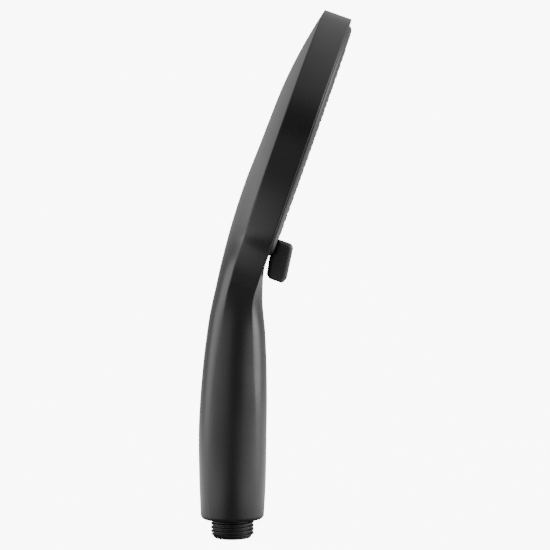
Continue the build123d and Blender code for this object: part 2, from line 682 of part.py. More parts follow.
# ----------------------------------------------------------------- engine base
DUCT_INNER_END = SPINDLE_RADIUS + 4.0
with BuildPart() as engine_base:
    with BuildSketch(HEAD_SECTION):
        band(0, ENGINE_RADIUS, ENGINE_REAR, ENGINE_FRONT)
        band(0, SPINDLE_BOSS_RADIUS, ENGINE_REAR - SPINDLE_BOSS, ENGINE_FRONT)
    revolve(axis=FACE_AXIS)
    # the duct from the tube socket to the port
    with BuildSketch(head_plane(DUCT_END)):
        with Locations((DUCT_DEPTH, 0)):
            Circle(DUCT_RADIUS)
    extrude(amount=DUCT_END - DUCT_INNER_END)
    with BuildSketch(HEAD.offset(ENGINE_FRONT)):
        with Locations((-PORT_CIRCLE, 0)):
            Circle(PORT_BOSS_RADIUS)
    extrude(amount=ENGINE_GAP - PORT_BOSS_GAP)
    with BuildSketch(head_plane(DUCT_END)):
        with Locations((DUCT_DEPTH, 0)):
            Circle(DUCT_BORE_RADIUS)
    extrude(amount=DUCT_END - DUCT_INNER_END - 2, mode=Mode.SUBTRACT)
    with BuildSketch(head_plane(DUCT_END)):
        with Locations((DUCT_DEPTH, 0)):
            Circle(TUBE_RADIUS + FIT)
    extrude(amount=DUCT_SOCKET_DEPTH, mode=Mode.SUBTRACT)
    with BuildSketch(DUCT_SECTION):
        band(0, TUBE_RADIUS + TUBE_SEAL, -UPPER_SEAL_DROP - TUBE_SEAL_WIDTH / 2,
             -UPPER_SEAL_DROP + TUBE_SEAL_WIDTH / 2)
    revolve(axis=DUCT_AXIS, mode=Mode.SUBTRACT)
    # port pocket and port
    with BuildSketch(HEAD.offset(CHAMBER_REAR)):
        with Locations((-PORT_CIRCLE, 0)):
            Circle(PORT_SEAL_RADIUS + FIT)
    extrude(amount=-ENGINE_GAP - PORT_POCKET, mode=Mode.SUBTRACT)
    with BuildSketch(HEAD.offset(CHAMBER_REAR)):
        with Locations((-PORT_CIRCLE, 0)):
            Circle(PORT_HOLE_RADIUS)
    extrude(amount=-(CHAMBER_REAR - DUCT_DEPTH), mode=Mode.SUBTRACT)
    # pockets of the two support pads and of the detent
    with BuildSketch(HEAD.offset(ENGINE_FRONT)):
        with Locations(
            *(
                (PORT_CIRCLE * cos(radians(angle)), PORT_CIRCLE * sin(radians(angle)))
                for angle in PAD_ANGLES
            )
        ):
            Circle(PAD_RADIUS + FIT)
    extrude(amount=-PAD_POCKET, mode=Mode.SUBTRACT)
    with BuildSketch(HEAD.offset(ENGINE_FRONT)):
        with Locations((0, DETENT_CIRCLE)):
            Circle(DETENT_RADIUS + RUNNING)
    extrude(amount=-DETENT_POCKET, mode=Mode.SUBTRACT)
    # screws and spindle
    with BuildSketch(HEAD.offset(ENGINE_FRONT)):
        with PolarLocations(ENGINE_SCREW_CIRCLE, ENGINE_SCREW_COUNT, start_angle=45):
            Circle(ENGINE_SCREW_HEAD_RADIUS + 2 * FIT)
    extrude(amount=-ENGINE_SCREW_SINK, mode=Mode.SUBTRACT)
    with BuildSketch(HEAD.offset(ENGINE_FRONT)):
        with PolarLocations(ENGINE_SCREW_CIRCLE, ENGINE_SCREW_COUNT, start_angle=45):
            Circle(ENGINE_SCREW_PASSAGE)
        Circle(SPINDLE_RADIUS + RUNNING)
    extrude(amount=-(ENGINE_THICKNESS + SPINDLE_BOSS + THROUGH), mode=Mode.SUBTRACT)
save(engine_base, "engine_base")

with BuildPart() as engine_screws:
    with BuildSketch(HEAD.offset(ENGINE_FRONT - ENGINE_SCREW_SINK)):
        with PolarLocations(ENGINE_SCREW_CIRCLE, ENGINE_SCREW_COUNT, start_angle=45):
            Circle(ENGINE_SCREW_HEAD_RADIUS)
    extrude(amount=ENGINE_SCREW_HEAD)
    with BuildSketch(HEAD.offset(ENGINE_FRONT - ENGINE_SCREW_SINK)):
        with PolarLocations(ENGINE_SCREW_CIRCLE, ENGINE_SCREW_COUNT, start_angle=45):
            Circle(ENGINE_SCREW_RADIUS - SQUEEZE)
    extrude(amount=-(ENGINE_THICKNESS - ENGINE_SCREW_SINK + BOSS_DEPTH - SCREW_TIP_SPACE))
    with BuildSketch(HEAD.offset(ENGINE_FRONT - ENGINE_SCREW_SINK + ENGINE_SCREW_HEAD)):
        with PolarLocations(ENGINE_SCREW_CIRCLE, ENGINE_SCREW_COUNT, start_angle=45):
            Rectangle(CROSS_LENGTH, CROSS_WIDTH)
            Rectangle(CROSS_WIDTH, CROSS_LENGTH)
    extrude(amount=-CROSS_DEPTH, mode=Mode.SUBTRACT)
save(engine_screws, "engine_screws")

# ---------------------------------------------- seals, pads and detent behind the face
PORT_SEAL_LOW = ENGINE_FRONT - PORT_POCKET + PORT_SPRING_HEIGHT
with BuildPart() as port_seal:
    with BuildSketch(HEAD.offset(CHAMBER_REAR - TOUCH)):
        with Locations((-PORT_CIRCLE, 0)):
            Circle(PORT_SEAL_RADIUS)
            Circle(PORT_HOLE_RADIUS, mode=Mode.SUBTRACT)
    extrude(amount=-(CHAMBER_REAR - TOUCH - PORT_SEAL_LOW))
save(port_seal, "port_seal")

port_seal_spring = coil_spring(
    Plane(
        origin=HEAD.from_local_coords(
            (-PORT_CIRCLE, 0, PORT_SEAL_LOW - PORT_SPRING_HEIGHT + SQUEEZE)
        ),
        x_dir=UP_FACE,
        z_dir=NORMAL,
    ),
    PORT_SPRING_HEIGHT - 2 * SQUEEZE,
    PORT_SEAL_RADIUS - PORT_SPRING_INSET,
    FINE_WIRE_RADIUS,
    PORT_SPRING_TURNS,
)
save(port_seal_spring, "port_seal_spring")

with BuildPart() as support_pads:
    with BuildSketch(HEAD.offset(CHAMBER_REAR - TOUCH)):
        with Locations(
            *(
                (PORT_CIRCLE * cos(radians(angle)), PORT_CIRCLE * sin(radians(angle)))
                for angle in PAD_ANGLES
            )
        ):
            Circle(PAD_RADIUS)
    extrude(amount=-(ENGINE_GAP - TOUCH + PAD_POCKET - SQUEEZE))
save(support_pads, "support_pads")

DETENT_TIP = CHAMBER_REAR - TOUCH
DETENT_FOOT = ENGINE_FRONT - DETENT_POCKET + DETENT_SPRING_HEIGHT
DETENT_SECTION = Plane(
    origin=HEAD.from_local_coords((0, DETENT_CIRCLE, 0)),
    x_dir=UP_FACE,
    z_dir=Vector(0, 1, 0),
)
with BuildPart() as detent_plunger:
    with BuildSketch(DETENT_SECTION):
        band(0, DETENT_RADIUS, DETENT_FOOT, DETENT_TIP - DETENT_BALL)
        band(0, DETENT_BALL, DETENT_FOOT, DETENT_TIP - DETENT_BALL)
        with Locations((0, DETENT_TIP - DETENT_BALL)):
            Circle(DETENT_BALL)
        with Locations((-DETENT_RADIUS, DETENT_TIP - DETENT_BALL)):
            Rectangle(2 * DETENT_RADIUS, 4 * DETENT_BALL, mode=Mode.SUBTRACT)
    revolve(axis=Axis(DETENT_SECTION.origin, NORMAL))
save(detent_plunger, "detent_plunger")

detent_spring = coil_spring(
    Plane(
        origin=HEAD.from_local_coords(
            (0, DETENT_CIRCLE, ENGINE_FRONT - DETENT_POCKET + SQUEEZE)
        ),
        x_dir=UP_FACE,
        z_dir=NORMAL,
    ),
    DETENT_SPRING_HEIGHT - 2 * SQUEEZE,
    DETENT_RADIUS - 0.5,
    FINE_WIRE_RADIUS,
    DETENT_SPRING_TURNS,
)
save(detent_spring, "detent_spring")


# -------------------------------------------------------------- turning chamber
def nozzle_circles(radius, mode=Mode.ADD):
    """One circle at every nozzle, in the current sketch."""
    for ring_radius, count in NOZZLE_RINGS.items():
        with PolarLocations(ring_radius, count, start_angle=180 / count):
            Circle(radius, mode=mode)


FLANGE_FRONT = CHAMBER_REAR + CHAMBER_FLOOR + FLANGE_THICKNESS
with BuildPart() as chamber_back:
    with BuildSketch(HEAD_SECTION):
        band(0, CHAMBER_RADIUS, CHAMBER_REAR, CHAMBER_FRONT_REAR)
        band(0, FLANGE_RADIUS, CHAMBER_INSIDE, FLANGE_FRONT)
        band(0, TURBINE_POCKET_RADIUS, CHAMBER_INSIDE, 0, mode=Mode.SUBTRACT)
        band(
            TURBINE_POCKET_RADIUS + CHAMBER_WALL,
            MIDDLE_WALL_RADIUS,
            CHAMBER_INSIDE,
            0,
            mode=Mode.SUBTRACT,
        )
        band(
            MIDDLE_WALL_RADIUS + CHAMBER_WALL,
            CHAMBER_RADIUS - CHAMBER_WALL,
            CHAMBER_INSIDE,
            0,
            mode=Mode.SUBTRACT,
        )
    revolve(axis=FACE_AXIS)
    # ports, spindle hole and face screw holes
    with BuildSketch(HEAD.offset(CHAMBER_REAR)):
        with PolarLocations(
            PORT_CIRCLE, 3, start_angle=180 - SELECTOR_STEP, angular_range=3 * SELECTOR_STEP
        ):
            Circle(PORT_HOLE_RADIUS)
        Circle(SPINDLE_RADIUS + FIT)
        with PolarLocations(FACE_SCREW_CIRCLE, FACE_SCREW_COUNT, start_angle=30):
            Circle(SMALL_SCREW_PASSAGE)
    extrude(amount=FLANGE_FRONT - CHAMBER_REAR + THROUGH, mode=Mode.SUBTRACT)
    # one detent dimple for each spray setting
    with BuildSketch(HEAD.offset(CHAMBER_REAR)):
        with PolarLocations(
            DETENT_CIRCLE, 3, start_angle=90 - SELECTOR_STEP, angular_range=3 * SELECTOR_STEP
        ):
            Circle(DETENT_BALL + DETENT_DIMPLE_SPACE)
    extrude(amount=DETENT_DIMPLE, mode=Mode.SUBTRACT)
save(chamber_back, "chamber_back")

with BuildPart() as chamber_front:
    with BuildSketch(HEAD.offset(CHAMBER_FRONT_REAR)):
        Circle(CHAMBER_RADIUS)
        nozzle_circles(NOZZLE_TIP_RADIUS, Mode.SUBTRACT)
    extrude(amount=CHAMBER_FRONT_THICKNESS)
save(chamber_front, "chamber_front")

with BuildPart() as nozzle_mat:
    with BuildSketch(HEAD.offset(-FACE_SKIN - MAT_THICKNESS)):
        Circle(MAT_RADIUS)
    extrude(amount=MAT_THICKNESS)
    tip_length = FACE_SKIN + NOZZLE_STAND
    tip_taper = degrees(asin((NOZZLE_BASE_RADIUS - NOZZLE_TIP_RADIUS) / tip_length))
    with BuildSketch(HEAD.offset(-FACE_SKIN)):
        nozzle_circles(NOZZLE_BASE_RADIUS)
    extrude(amount=tip_length, taper=tip_taper)
    with BuildSketch(HEAD.offset(-FACE_SKIN - MAT_THICKNESS)):
        nozzle_circles(NOZZLE_BORE_RADIUS)
    extrude(amount=MAT_THICKNESS + tip_length + THROUGH, mode=Mode.SUBTRACT)
save(nozzle_mat, "nozzle_mat")

# ------------------------------------------------------------------ face plate
with BuildPart() as face_plate:
    with BuildSketch(HEAD_SECTION):
        band(0, FACE_RADIUS, -FACE_SKIN, 0)
        band(FLANGE_RADIUS + ENGINE_CLEARANCE, FACE_RADIUS, -FACE_SKIRT, 0)
    revolve(axis=FACE_AXIS)
    fillet(
        face_plate.edges().filter_by(GeomType.CIRCLE).sort_by(Axis((0, 0, 0), NORMAL))[-1],
        FACE_ROUND,
    )
    with BuildSketch(HEAD.offset(-FACE_SKIN)):
        with PolarLocations(FACE_SCREW_CIRCLE, FACE_SCREW_COUNT, start_angle=30):
            Circle(FACE_BOSS_RADIUS)
    extrude(amount=FACE_SKIN + FLANGE_FRONT)
    with BuildSketch(HEAD.offset(FLANGE_FRONT)):
        with PolarLocations(FACE_SCREW_CIRCLE, FACE_SCREW_COUNT, start_angle=30):
            Circle(SMALL_SCREW_RADIUS + SQUEEZE)
    extrude(amount=2 * SCREW_TIP_SPACE - FACE_SKIN - FLANGE_FRONT, mode=Mode.SUBTRACT)
    with BuildSketch(HEAD.offset(-FACE_SKIN - THROUGH)):
        nozzle_circles(NOZZLE_BASE_RADIUS + FACE_HOLE_CLEARANCE)
        with Locations((-TAB_SCREW_DROP, 0)):
            Circle(SMALL_SCREW_PASSAGE)
    extrude(amount=FACE_SKIN + 2 * THROUGH, mode=Mode.SUBTRACT)
save(face_plate, "face_plate")

with BuildPart() as face_screws:
    with BuildSketch(HEAD.offset(CHAMBER_INSIDE - SQUEEZE)):
        with PolarLocations(FACE_SCREW_CIRCLE, FACE_SCREW_COUNT, start_angle=30):
            Circle(SMALL_SCREW_HEAD_RADIUS)
    extrude(amount=-SMALL_SCREW_HEAD)
    with BuildSketch(HEAD.offset(CHAMBER_INSIDE - SQUEEZE)):
        with PolarLocations(FACE_SCREW_CIRCLE, FACE_SCREW_COUNT, start_angle=30):
            Circle(SMALL_SCREW_RADIUS)
    extrude(amount=SCREW_TIP_SPACE - FACE_SKIN - CHAMBER_INSIDE + SQUEEZE)
save(face_screws, "face_screws")

# ------------------------------------------------------------------- thumb tab
TAB_END = TAB_TOP + TAB_LENGTH
with BuildPart() as thumb_tab:
    with BuildSketch(HEAD_SECTION):
        Polygon(
            (-TAB_TOP, SQUEEZE),
            (-TAB_TOP, TAB_TOP_STAND),
            (-(TAB_END - TAB_SLOPE), TAB_STAND),
            (-TAB_END, TAB_END_STAND),
            (-TAB_END, TAB_BACK_LOW),
            (-(TAB_END - TAB_HOOK), SQUEEZE),
            (-(FACE_RADIUS + FIT), -TAB_HOOK),
            (-(FACE_RADIUS + FIT), SQUEEZE),
            align=None,
        )
    extrude(amount=TAB_WIDTH / 2, both=True)
    front_edges = (
        thumb_tab.edges().filter_by(Axis.Y).sort_by(Axis((0, 0, 0), NORMAL))[-3:]
    )
    fillet(front_edges, TAB_ROUND)
    with BuildSketch(HEAD):
        with Locations((-TAB_SCREW_DROP, 0)):
            Circle(SMALL_SCREW_RADIUS + SQUEEZE)
    extrude(amount=TAB_SCREW_DEPTH, mode=Mode.SUBTRACT)
save(thumb_tab, "thumb_tab")

with BuildPart() as tab_screw:
    with BuildSketch(HEAD.offset(-FACE_SKIN - SQUEEZE)):
        with Locations((-TAB_SCREW_DROP, 0)):
            Circle(SMALL_SCREW_HEAD_RADIUS)
    extrude(amount=-SMALL_SCREW_HEAD)
    with BuildSketch(HEAD.offset(-FACE_SKIN - SQUEEZE)):
        with Locations((-TAB_SCREW_DROP, 0)):
            Circle(SMALL_SCREW_RADIUS)
    extrude(amount=FACE_SKIN + TAB_SCREW_DEPTH - SCREW_TIP_SPACE)
save(tab_screw, "tab_screw")

# --------------------------------------------------------- spindle and turbine
SPINDLE_END = ENGINE_REAR - SPINDLE_BOSS - SPINDLE_TAIL
CLIP_FRONT = ENGINE_REAR - SPINDLE_BOSS - 2 * TOUCH - WASHER_THICKNESS
with BuildPart() as pivot_spindle:
    with BuildSketch(HEAD_SECTION):
        band(0, SPINDLE_RADIUS, SPINDLE_END, CHAMBER_INSIDE)
        band(0, SPINDLE_FLANGE_RADIUS, CHAMBER_INSIDE, CHAMBER_INSIDE + SPINDLE_FLANGE)
        band(
            SPINDLE_RADIUS - CLIP_GROOVE,
            SPINDLE_RADIUS + THROUGH,
            CLIP_FRONT - CLIP_THICKNESS - TOUCH,
            CLIP_FRONT + TOUCH,
            mode=Mode.SUBTRACT,
        )
        band(
            SPINDLE_RADIUS - SPINDLE_RING_GROOVE,
            SPINDLE_RADIUS + THROUGH,
            ENGINE_REAR + SPINDLE_RING_START,
            ENGINE_REAR + SPINDLE_RING_START + SPINDLE_RING_WIDTH,
            mode=Mode.SUBTRACT,
        )
        band(0, AXLE_RADIUS, CHAMBER_INSIDE - AXLE_SINK, 0, mode=Mode.SUBTRACT)
    revolve(axis=FACE_AXIS)
save(pivot_spindle, "pivot_spindle")

with BuildPart() as spindle_o_ring:
    section_radius = (SPINDLE_RING_GROOVE + RUNNING) / 2 - SQUEEZE
    with BuildSketch(HEAD_SECTION):
        ring_section(
            SPINDLE_RADIUS + RUNNING - SQUEEZE - section_radius,
            ENGINE_REAR + SPINDLE_RING_START + SPINDLE_RING_WIDTH / 2,
            section_radius,
        )
    revolve(axis=FACE_AXIS)
save(spindle_o_ring, "spindle_o_ring")

with BuildPart() as spindle_washer:
    with BuildSketch(HEAD_SECTION):
        band(SPINDLE_RADIUS + FIT, WASHER_RADIUS, CLIP_FRONT + SQUEEZE,
             ENGINE_REAR - SPINDLE_BOSS - TOUCH)
    revolve(axis=FACE_AXIS)
save(spindle_washer, "spindle_washer")

with BuildPart() as spindle_clip:
    with BuildSketch(HEAD.offset(CLIP_FRONT)):
        Circle(WASHER_RADIUS - CLIP_INSET)
        Circle(SPINDLE_RADIUS - CLIP_GROOVE + TOUCH, mode=Mode.SUBTRACT)
        with Locations((WASHER_RADIUS / 2, 0)):
            Rectangle(WASHER_RADIUS, 2 * (SPINDLE_RADIUS - SPINDLE_RING_GROOVE), mode=Mode.SUBTRACT)
    extrude(amount=-CLIP_THICKNESS)
save(spindle_clip, "spindle_clip")

with BuildPart() as turbine_axle:
    with BuildSketch(HEAD.offset(CHAMBER_INSIDE - AXLE_SINK)):
        Circle(AXLE_RADIUS)
    extrude(amount=CHAMBER_FRONT_REAR - CHAMBER_INSIDE + AXLE_SINK - TOUCH)
save(turbine_axle, "turbine_axle")

TURBINE_LOW = CHAMBER_INSIDE + SPINDLE_FLANGE + TURBINE_SPACE
TURBINE_HIGH = CHAMBER_FRONT_REAR - TURBINE_SPACE
BLADE_LENGTH = TURBINE_RADIUS - TURBINE_RING / 2
with BuildPart() as turbine:
    with BuildSketch(HEAD.offset(TURBINE_LOW)):
        Circle(TURBINE_RADIUS)
        Circle(TURBINE_RADIUS - TURBINE_RING, mode=Mode.SUBTRACT)
        Circle(TURBINE_HUB_RADIUS)
        with PolarLocations(BLADE_LENGTH / 2, TURBINE_BLADES):
            Rectangle(BLADE_LENGTH, BLADE_THICKNESS, rotation=BLADE_ANGLE)
        Circle(AXLE_RADIUS + RUNNING, mode=Mode.SUBTRACT)
    extrude(amount=TURBINE_HIGH - TURBINE_LOW)
save(turbine, "turbine")
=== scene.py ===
"""Looks of the handheld shower head: body, spray face, thumb tab, inlet and finishes.

Lengths are millimetres unless a name says otherwise. +Z runs up the handle, +X is the
spray side and Y runs across. Heights in the head are measured along the face's normal
from the front of the face plate, so everything behind it is negative. A drop is a
distance down the face from its centre.
"""
import json
import math

import bmesh
import bpy
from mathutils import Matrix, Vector


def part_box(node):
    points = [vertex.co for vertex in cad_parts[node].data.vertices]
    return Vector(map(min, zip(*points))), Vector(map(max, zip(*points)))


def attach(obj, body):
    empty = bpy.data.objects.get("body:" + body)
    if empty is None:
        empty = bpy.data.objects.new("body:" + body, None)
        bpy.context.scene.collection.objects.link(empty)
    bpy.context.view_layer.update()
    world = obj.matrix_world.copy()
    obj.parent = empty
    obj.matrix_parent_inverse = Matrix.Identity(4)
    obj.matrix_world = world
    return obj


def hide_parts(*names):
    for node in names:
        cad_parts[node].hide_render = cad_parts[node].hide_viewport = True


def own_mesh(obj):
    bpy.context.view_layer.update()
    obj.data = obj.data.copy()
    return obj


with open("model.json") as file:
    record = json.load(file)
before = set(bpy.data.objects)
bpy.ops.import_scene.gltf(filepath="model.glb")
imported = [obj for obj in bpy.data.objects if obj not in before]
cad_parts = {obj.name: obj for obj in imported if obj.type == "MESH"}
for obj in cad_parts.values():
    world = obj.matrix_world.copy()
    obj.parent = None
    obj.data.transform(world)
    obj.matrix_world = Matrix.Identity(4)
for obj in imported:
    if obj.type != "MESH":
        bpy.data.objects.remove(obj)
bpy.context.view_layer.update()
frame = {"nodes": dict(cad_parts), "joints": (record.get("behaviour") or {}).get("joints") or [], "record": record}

MM = 0.001
FULL_TURN = 2 * math.pi


# ---------------------------------------------------------------- the head's own frame
def joint(name):
    return next(entry for entry in frame["joints"] if entry["name"] == name)


FACE_CENTRE = Vector(joint("face_turn")["pos_m"])
NORMAL = Vector(joint("face_turn")["axis"]).normalized()
ACROSS = Vector((0, 1, 0))
UP_FACE = ACROSS.cross(NORMAL) * -1


def on_head(up, across, out):
    """A point given up the face, across it and out along its normal."""
    return FACE_CENTRE + (UP_FACE * up + ACROSS * across + NORMAL * out) * MM


def near_axis(x, y, z):
    """A point given in the part's own directions, for pieces round the handle's axis."""
    return Vector((x, y, z)) * MM


# ------------------------------------------------------------------------ mesh helpers
def make_object(name, bm, body, material):
    """Turns a bmesh into a finished object that rides on a body."""
    bmesh.ops.recalc_face_normals(bm, faces=bm.faces)
    mesh = bpy.data.meshes.new(name)
    bm.to_mesh(mesh)
    bm.free()
    piece = bpy.data.objects.new(name, mesh)
    bpy.context.scene.collection.objects.link(piece)
    mesh.materials.append(material)
    for face in mesh.polygons:
        face.use_smooth = True
    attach(piece, body)
    return piece


def sharpen(piece, degrees):
    """Marks the edges that turn by more than an angle as sharp."""
    bm = bmesh.new()
    bm.from_mesh(piece.data)
    limit = math.radians(degrees)
    for edge in bm.edges:
        edge.smooth = len(edge.link_faces) != 2 or edge.calc_face_angle(0) < limit
    bm.to_mesh(piece.data)
    bm.free()


def bridge_rings(bm, rings, closed=True):
    """Quads between successive rings of points that have the same count."""
    rows = [[bm.verts.new(point) for point in ring] for ring in rings]
    count = len(rows[0])
    steps = count if closed else count - 1
    for low, high in zip(rows, rows[1:]):
        for index in range(steps):
            after = (index + 1) % count
            bm.faces.new((low[index], low[after], high[after], high[index]))
    return rows


def add_solid(bm, rings):
    """Joins rings into a closed solid, with a face over each end."""
    rows = bridge_rings(bm, rings)
    bm.faces.new(rows[0])
    bm.faces.new(rows[-1])


def solid(rings):
    bm = bmesh.new()
    add_solid(bm, rings)
    return bm


def turned_rings(profile, place, segments):
    """Rings of a turned shape: profile is (radius, height) pairs, place makes a point."""
    rings = []
    for radius, height in profile:
        ring = []
        for index in range(segments):
            angle = FULL_TURN * index / segments
            ring.append(place(radius * math.cos(angle), radius * math.sin(angle), height))
        rings.append(ring)
    return rings


def arc_points(centre, radius, start, end, steps):
    """Points of an arc in the (radius, height) plane, angles in degrees."""
    points = []
    for index in range(steps + 1):
        angle = math.radians(start + (end - start) * index / steps)
        points.append((centre[0] + radius * math.cos(angle), centre[1] + radius * math.sin(angle)))
    return points


WELD = 1e-6               # metres


def cut_away(piece, cutter_mesh, material):
    """Takes a cutter out of a piece and keeps the result as its mesh."""
    cutter = make_object("cutter", cutter_mesh, "handle", material)
    cut = piece.modifiers.new("cut", "BOOLEAN")
    cut.operation = "DIFFERENCE"
    cut.solver = "EXACT"
    cut.object = cutter
    depsgraph = bpy.context.evaluated_depsgraph_get()
    finished = bpy.data.meshes.new_from_object(piece.evaluated_get(depsgraph))
    piece.modifiers.clear()
    piece.data = finished
    bpy.data.objects.remove(cutter)
    bm = bmesh.new()
    bm.from_mesh(finished)
    bmesh.ops.remove_doubles(bm, verts=bm.verts, dist=WELD)
    bmesh.ops.dissolve_degenerate(bm, edges=bm.edges, dist=WELD)
    bm.to_mesh(finished)
    bm.free()


def smoothstep(value, low, high):
    share = min(max((value - low) / (high - low), 0.0), 1.0)
    return share * share * (3 - 2 * share)


def chord_arc(offset, half_chord, rise):
    """Height of a circular arc over its chord, at an offset from its middle."""
    if abs(rise) < 1e-6:
        return 0.0
    radius = (half_chord**2 + rise**2) / (2 * abs(rise))
    height = math.sqrt(max(radius**2 - min(abs(offset), half_chord) ** 2, 0.0))
    return math.copysign(height - radius + abs(rise), rise)


def catmull(points, share):
    """A smooth value through four values, between the middle two."""
    before, start, end, after = points
    return 0.5 * (
        2 * start
        + (end - before) * share
        + (2 * before - 5 * start + 4 * end - after) * share**2
        + (3 * start - before - 3 * end + after) * share**3
    )


# ------------------------------------------------------------------ sizes of the body
RIM_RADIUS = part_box("body_shell")[1][1] / MM
RIM_FRONT = -1.9
RIM_BACK = -15.6
CROWN = 8.0               # how far the disc's back swells behind the rim
RIDGE_DEPTH = -24.6       # deepest line of the back, where it turns into the neck
RIDGE_DROP = 30.0
RIDGE_CURVE = 760.0       # twice the ridge's radius along the back
RIDGE_FADE = -25.0        # drop at which the ridge starts to rise out of the crown
RIDGE_SPREAD = 30.0       # how widely the ridge spreads across the disc
NECK_BLEND = (34.0, 84.0)  # drops between which the disc's back becomes the neck's
BACK_EDGE_FALL = (64.0, 80.0)
NECK_EDGE_DROP = 0.9
NECK_CROWN = 6.24         # crown of the neck's front
OPENING_RADIUS = 59.6     # round recess that the spray face turns in
OPENING_DEPTH = 6.9
OPENING_ROUND = 0.2
NECK_HALF_WIDTH = 14.0
FLARE_RADIUS = 25.0       # hollow curve from the neck into the disc
CORNER_ROUND = 0.35
CORNER_SHARE = 0.03       # the rounding's largest share of a section's half width
SIDE_BULGE = 0.02         # of the disc and the neck
TOP_ANGLE = 0.03          # radians short of the top at which the disc's rings end
HANDLE_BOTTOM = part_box("body_shell")[0][2] / MM
BOTTOM_RADIUS = 15.5
BOTTOM_ROUND = 2.0
INLET_HOLE_RADIUS = 10.95
INLET_HOLE_DEPTH = 6.0
INLET_HOLE_EDGE = 0.3

FLARE_LATERAL = NECK_HALF_WIDTH + FLARE_RADIUS
FLARE_DROP = math.sqrt((RIM_RADIUS + FLARE_RADIUS) ** 2 - FLARE_LATERAL**2)
FLARE_START = RIM_RADIUS * FLARE_DROP / (RIM_RADIUS + FLARE_RADIUS)

# Sections of the handle: height on the axis, tilt in degrees, back, back edge, front
# edge, front, half width at the edges, half width at mid depth.
HANDLE_SECTIONS = [
    (11.3, 0.0, -15.5, -10.96, 10.96, 15.5, 10.96, 15.5),
    (28.0, 0.0, -16.2, -11.4, 11.5, 16.35, 11.4, 16.1),
    (50.0, 0.2, -16.5, -11.1, 11.7, 16.75, 11.7, 16.2),
    (68.0, 1.5, -15.7, -9.0, 11.3, 16.95, 12.4, 15.8),
    (86.0, 5.0, -14.1, -6.7, 10.4, 16.8, 12.7, 15.1),
    (101.0, 10.5, -12.2, -4.8, 10.3, 16.5, 12.8, 14.6),
]

RIM_SEGMENTS = 240        # round the recess and the face plate
BACK_STEPS = 36
SIDE_STEPS = 8
FRONT_STEPS = 28
CORNER_STEPS = 3
ACROSS_REACH = 0.97       # keeps the points of a front or back off its corners
SIDE_END_SHARE = 0.7      # and draws the first points of a side towards them


# -------------------------------------------------------------------- outline of the head
def neck_width(drop):
    """Half width of the head's outline."""
    if drop <= FLARE_START:
        return math.sqrt(max(RIM_RADIUS**2 - drop**2, 0.0))
    return FLARE_LATERAL - math.sqrt(FLARE_RADIUS**2 - (FLARE_DROP - min(drop, FLARE_DROP)) ** 2)


def back_rises(drop):
    """How far the disc's crown and the ridge stand behind the rim on the middle line."""
    crown = CROWN * (1 - (drop / RIM_RADIUS) ** 2) if abs(drop) < RIM_RADIUS else 0.0
    ridge = RIM_BACK - (RIDGE_DEPTH + (drop - RIDGE_DROP) ** 2 / RIDGE_CURVE)
    if drop > RIDGE_DROP:
        return crown, ridge
    share = smoothstep(drop, RIDGE_FADE, RIDGE_DROP)
    return crown, crown + (ridge - crown) * share


def back_edge_height(drop):
    """Edge between the side and the back: level round the disc, lower on the neck."""
    return RIM_BACK + NECK_EDGE_DROP * smoothstep(drop, *BACK_EDGE_FALL)


def back_height(drop, across, half_width):
    """Height of the back surface, across the neck or the disc."""
    crown, ridge = back_rises(drop)
    edge = back_edge_height(drop)
    crown = max(crown + edge - RIM_BACK, 0.0) if crown > 0 else crown
    ridge += edge - RIM_BACK
    on_disc = chord_arc(across, half_width, crown) if crown > 0 else 0.0
    share = across / half_width
    swell = (ridge - crown) * (1 - share**2) * math.exp(-((across / RIDGE_SPREAD) ** 2))
    as_neck = chord_arc(across, half_width, ridge)
    blend = smoothstep(drop, *NECK_BLEND)
    return edge - ((1 - blend) * (on_disc + swell) + blend * as_neck)


def front_height(drop, across, half_width):
    """Height of the front surface: flat on the rim, crowned on the neck."""
    rise = NECK_CROWN * smoothstep(drop, RIM_RADIUS - 0.5, FLARE_DROP + 12.0)
    return RIM_FRONT + chord_arc(across, half_width, rise)


# --------------------------------------------------------------------- rings of the body
def soft_corners(stretches, radius):
    """One closed ring from stretches of points, with each corner rounded."""
    ring = []
    count = len(stretches)
    for index, stretch in enumerate(stretches):
        following = stretches[(index + 1) % count]
        corner = stretch[-1]
        before = corner + (stretch[-2] - corner).normalized() * radius
        after = corner + (following[1] - corner).normalized() * radius
        ring.extend(stretch[1:-1])
        for step in range(CORNER_STEPS + 1):
            share = step / CORNER_STEPS
            ring.append(
                before * (1 - share) ** 2 + corner * 2 * share * (1 - share) + after * share**2
            )
    return ring


def across_stretch(height, half_edge, steps, direction):
    """Points across a front or a back, closer together towards its edges."""
    points = []
    for step in range(steps + 1):
        share = math.sin(math.pi / 2 * (2 * step / steps - 1)) * direction
        if 0 < step < steps:
            share *= ACROSS_REACH
        across = share * half_edge
        points.append(Vector((height(across), across)))
    return points


def side_stretch(start, end, half_edge, half_side, direction):
    """Points down a side that bulges from its edges to its middle."""
    points = []
    for step in range(SIDE_STEPS + 1):
        share = step / SIDE_STEPS
        if step == 1:
            share *= SIDE_END_SHARE
        elif step == SIDE_STEPS - 1:
            share = 1 - (1 - share) * SIDE_END_SHARE
        depth = start + (end - start) * share
        bulge = chord_arc(depth - (start + end) / 2, abs(end - start) / 2, half_side - half_edge)
        points.append(Vector((depth, direction * (half_edge + bulge))))
    return points


def section_ring(place, half_edge, half_side, back, front, back_edge, front_edge):
    """One closed ring round the body. back and front give heights across the section."""
    stretches = [
        across_stretch(back, half_edge, BACK_STEPS, 1),
        side_stretch(back_edge, front_edge, half_edge, half_side, 1),
        across_stretch(front, half_edge, FRONT_STEPS, -1),
        side_stretch(front_edge, back_edge, half_edge, half_side, -1),
    ]
    radius = min(CORNER_ROUND, half_edge * CORNER_SHARE)
    return [place(point.x, point.y) for point in soft_corners(stretches, radius)]


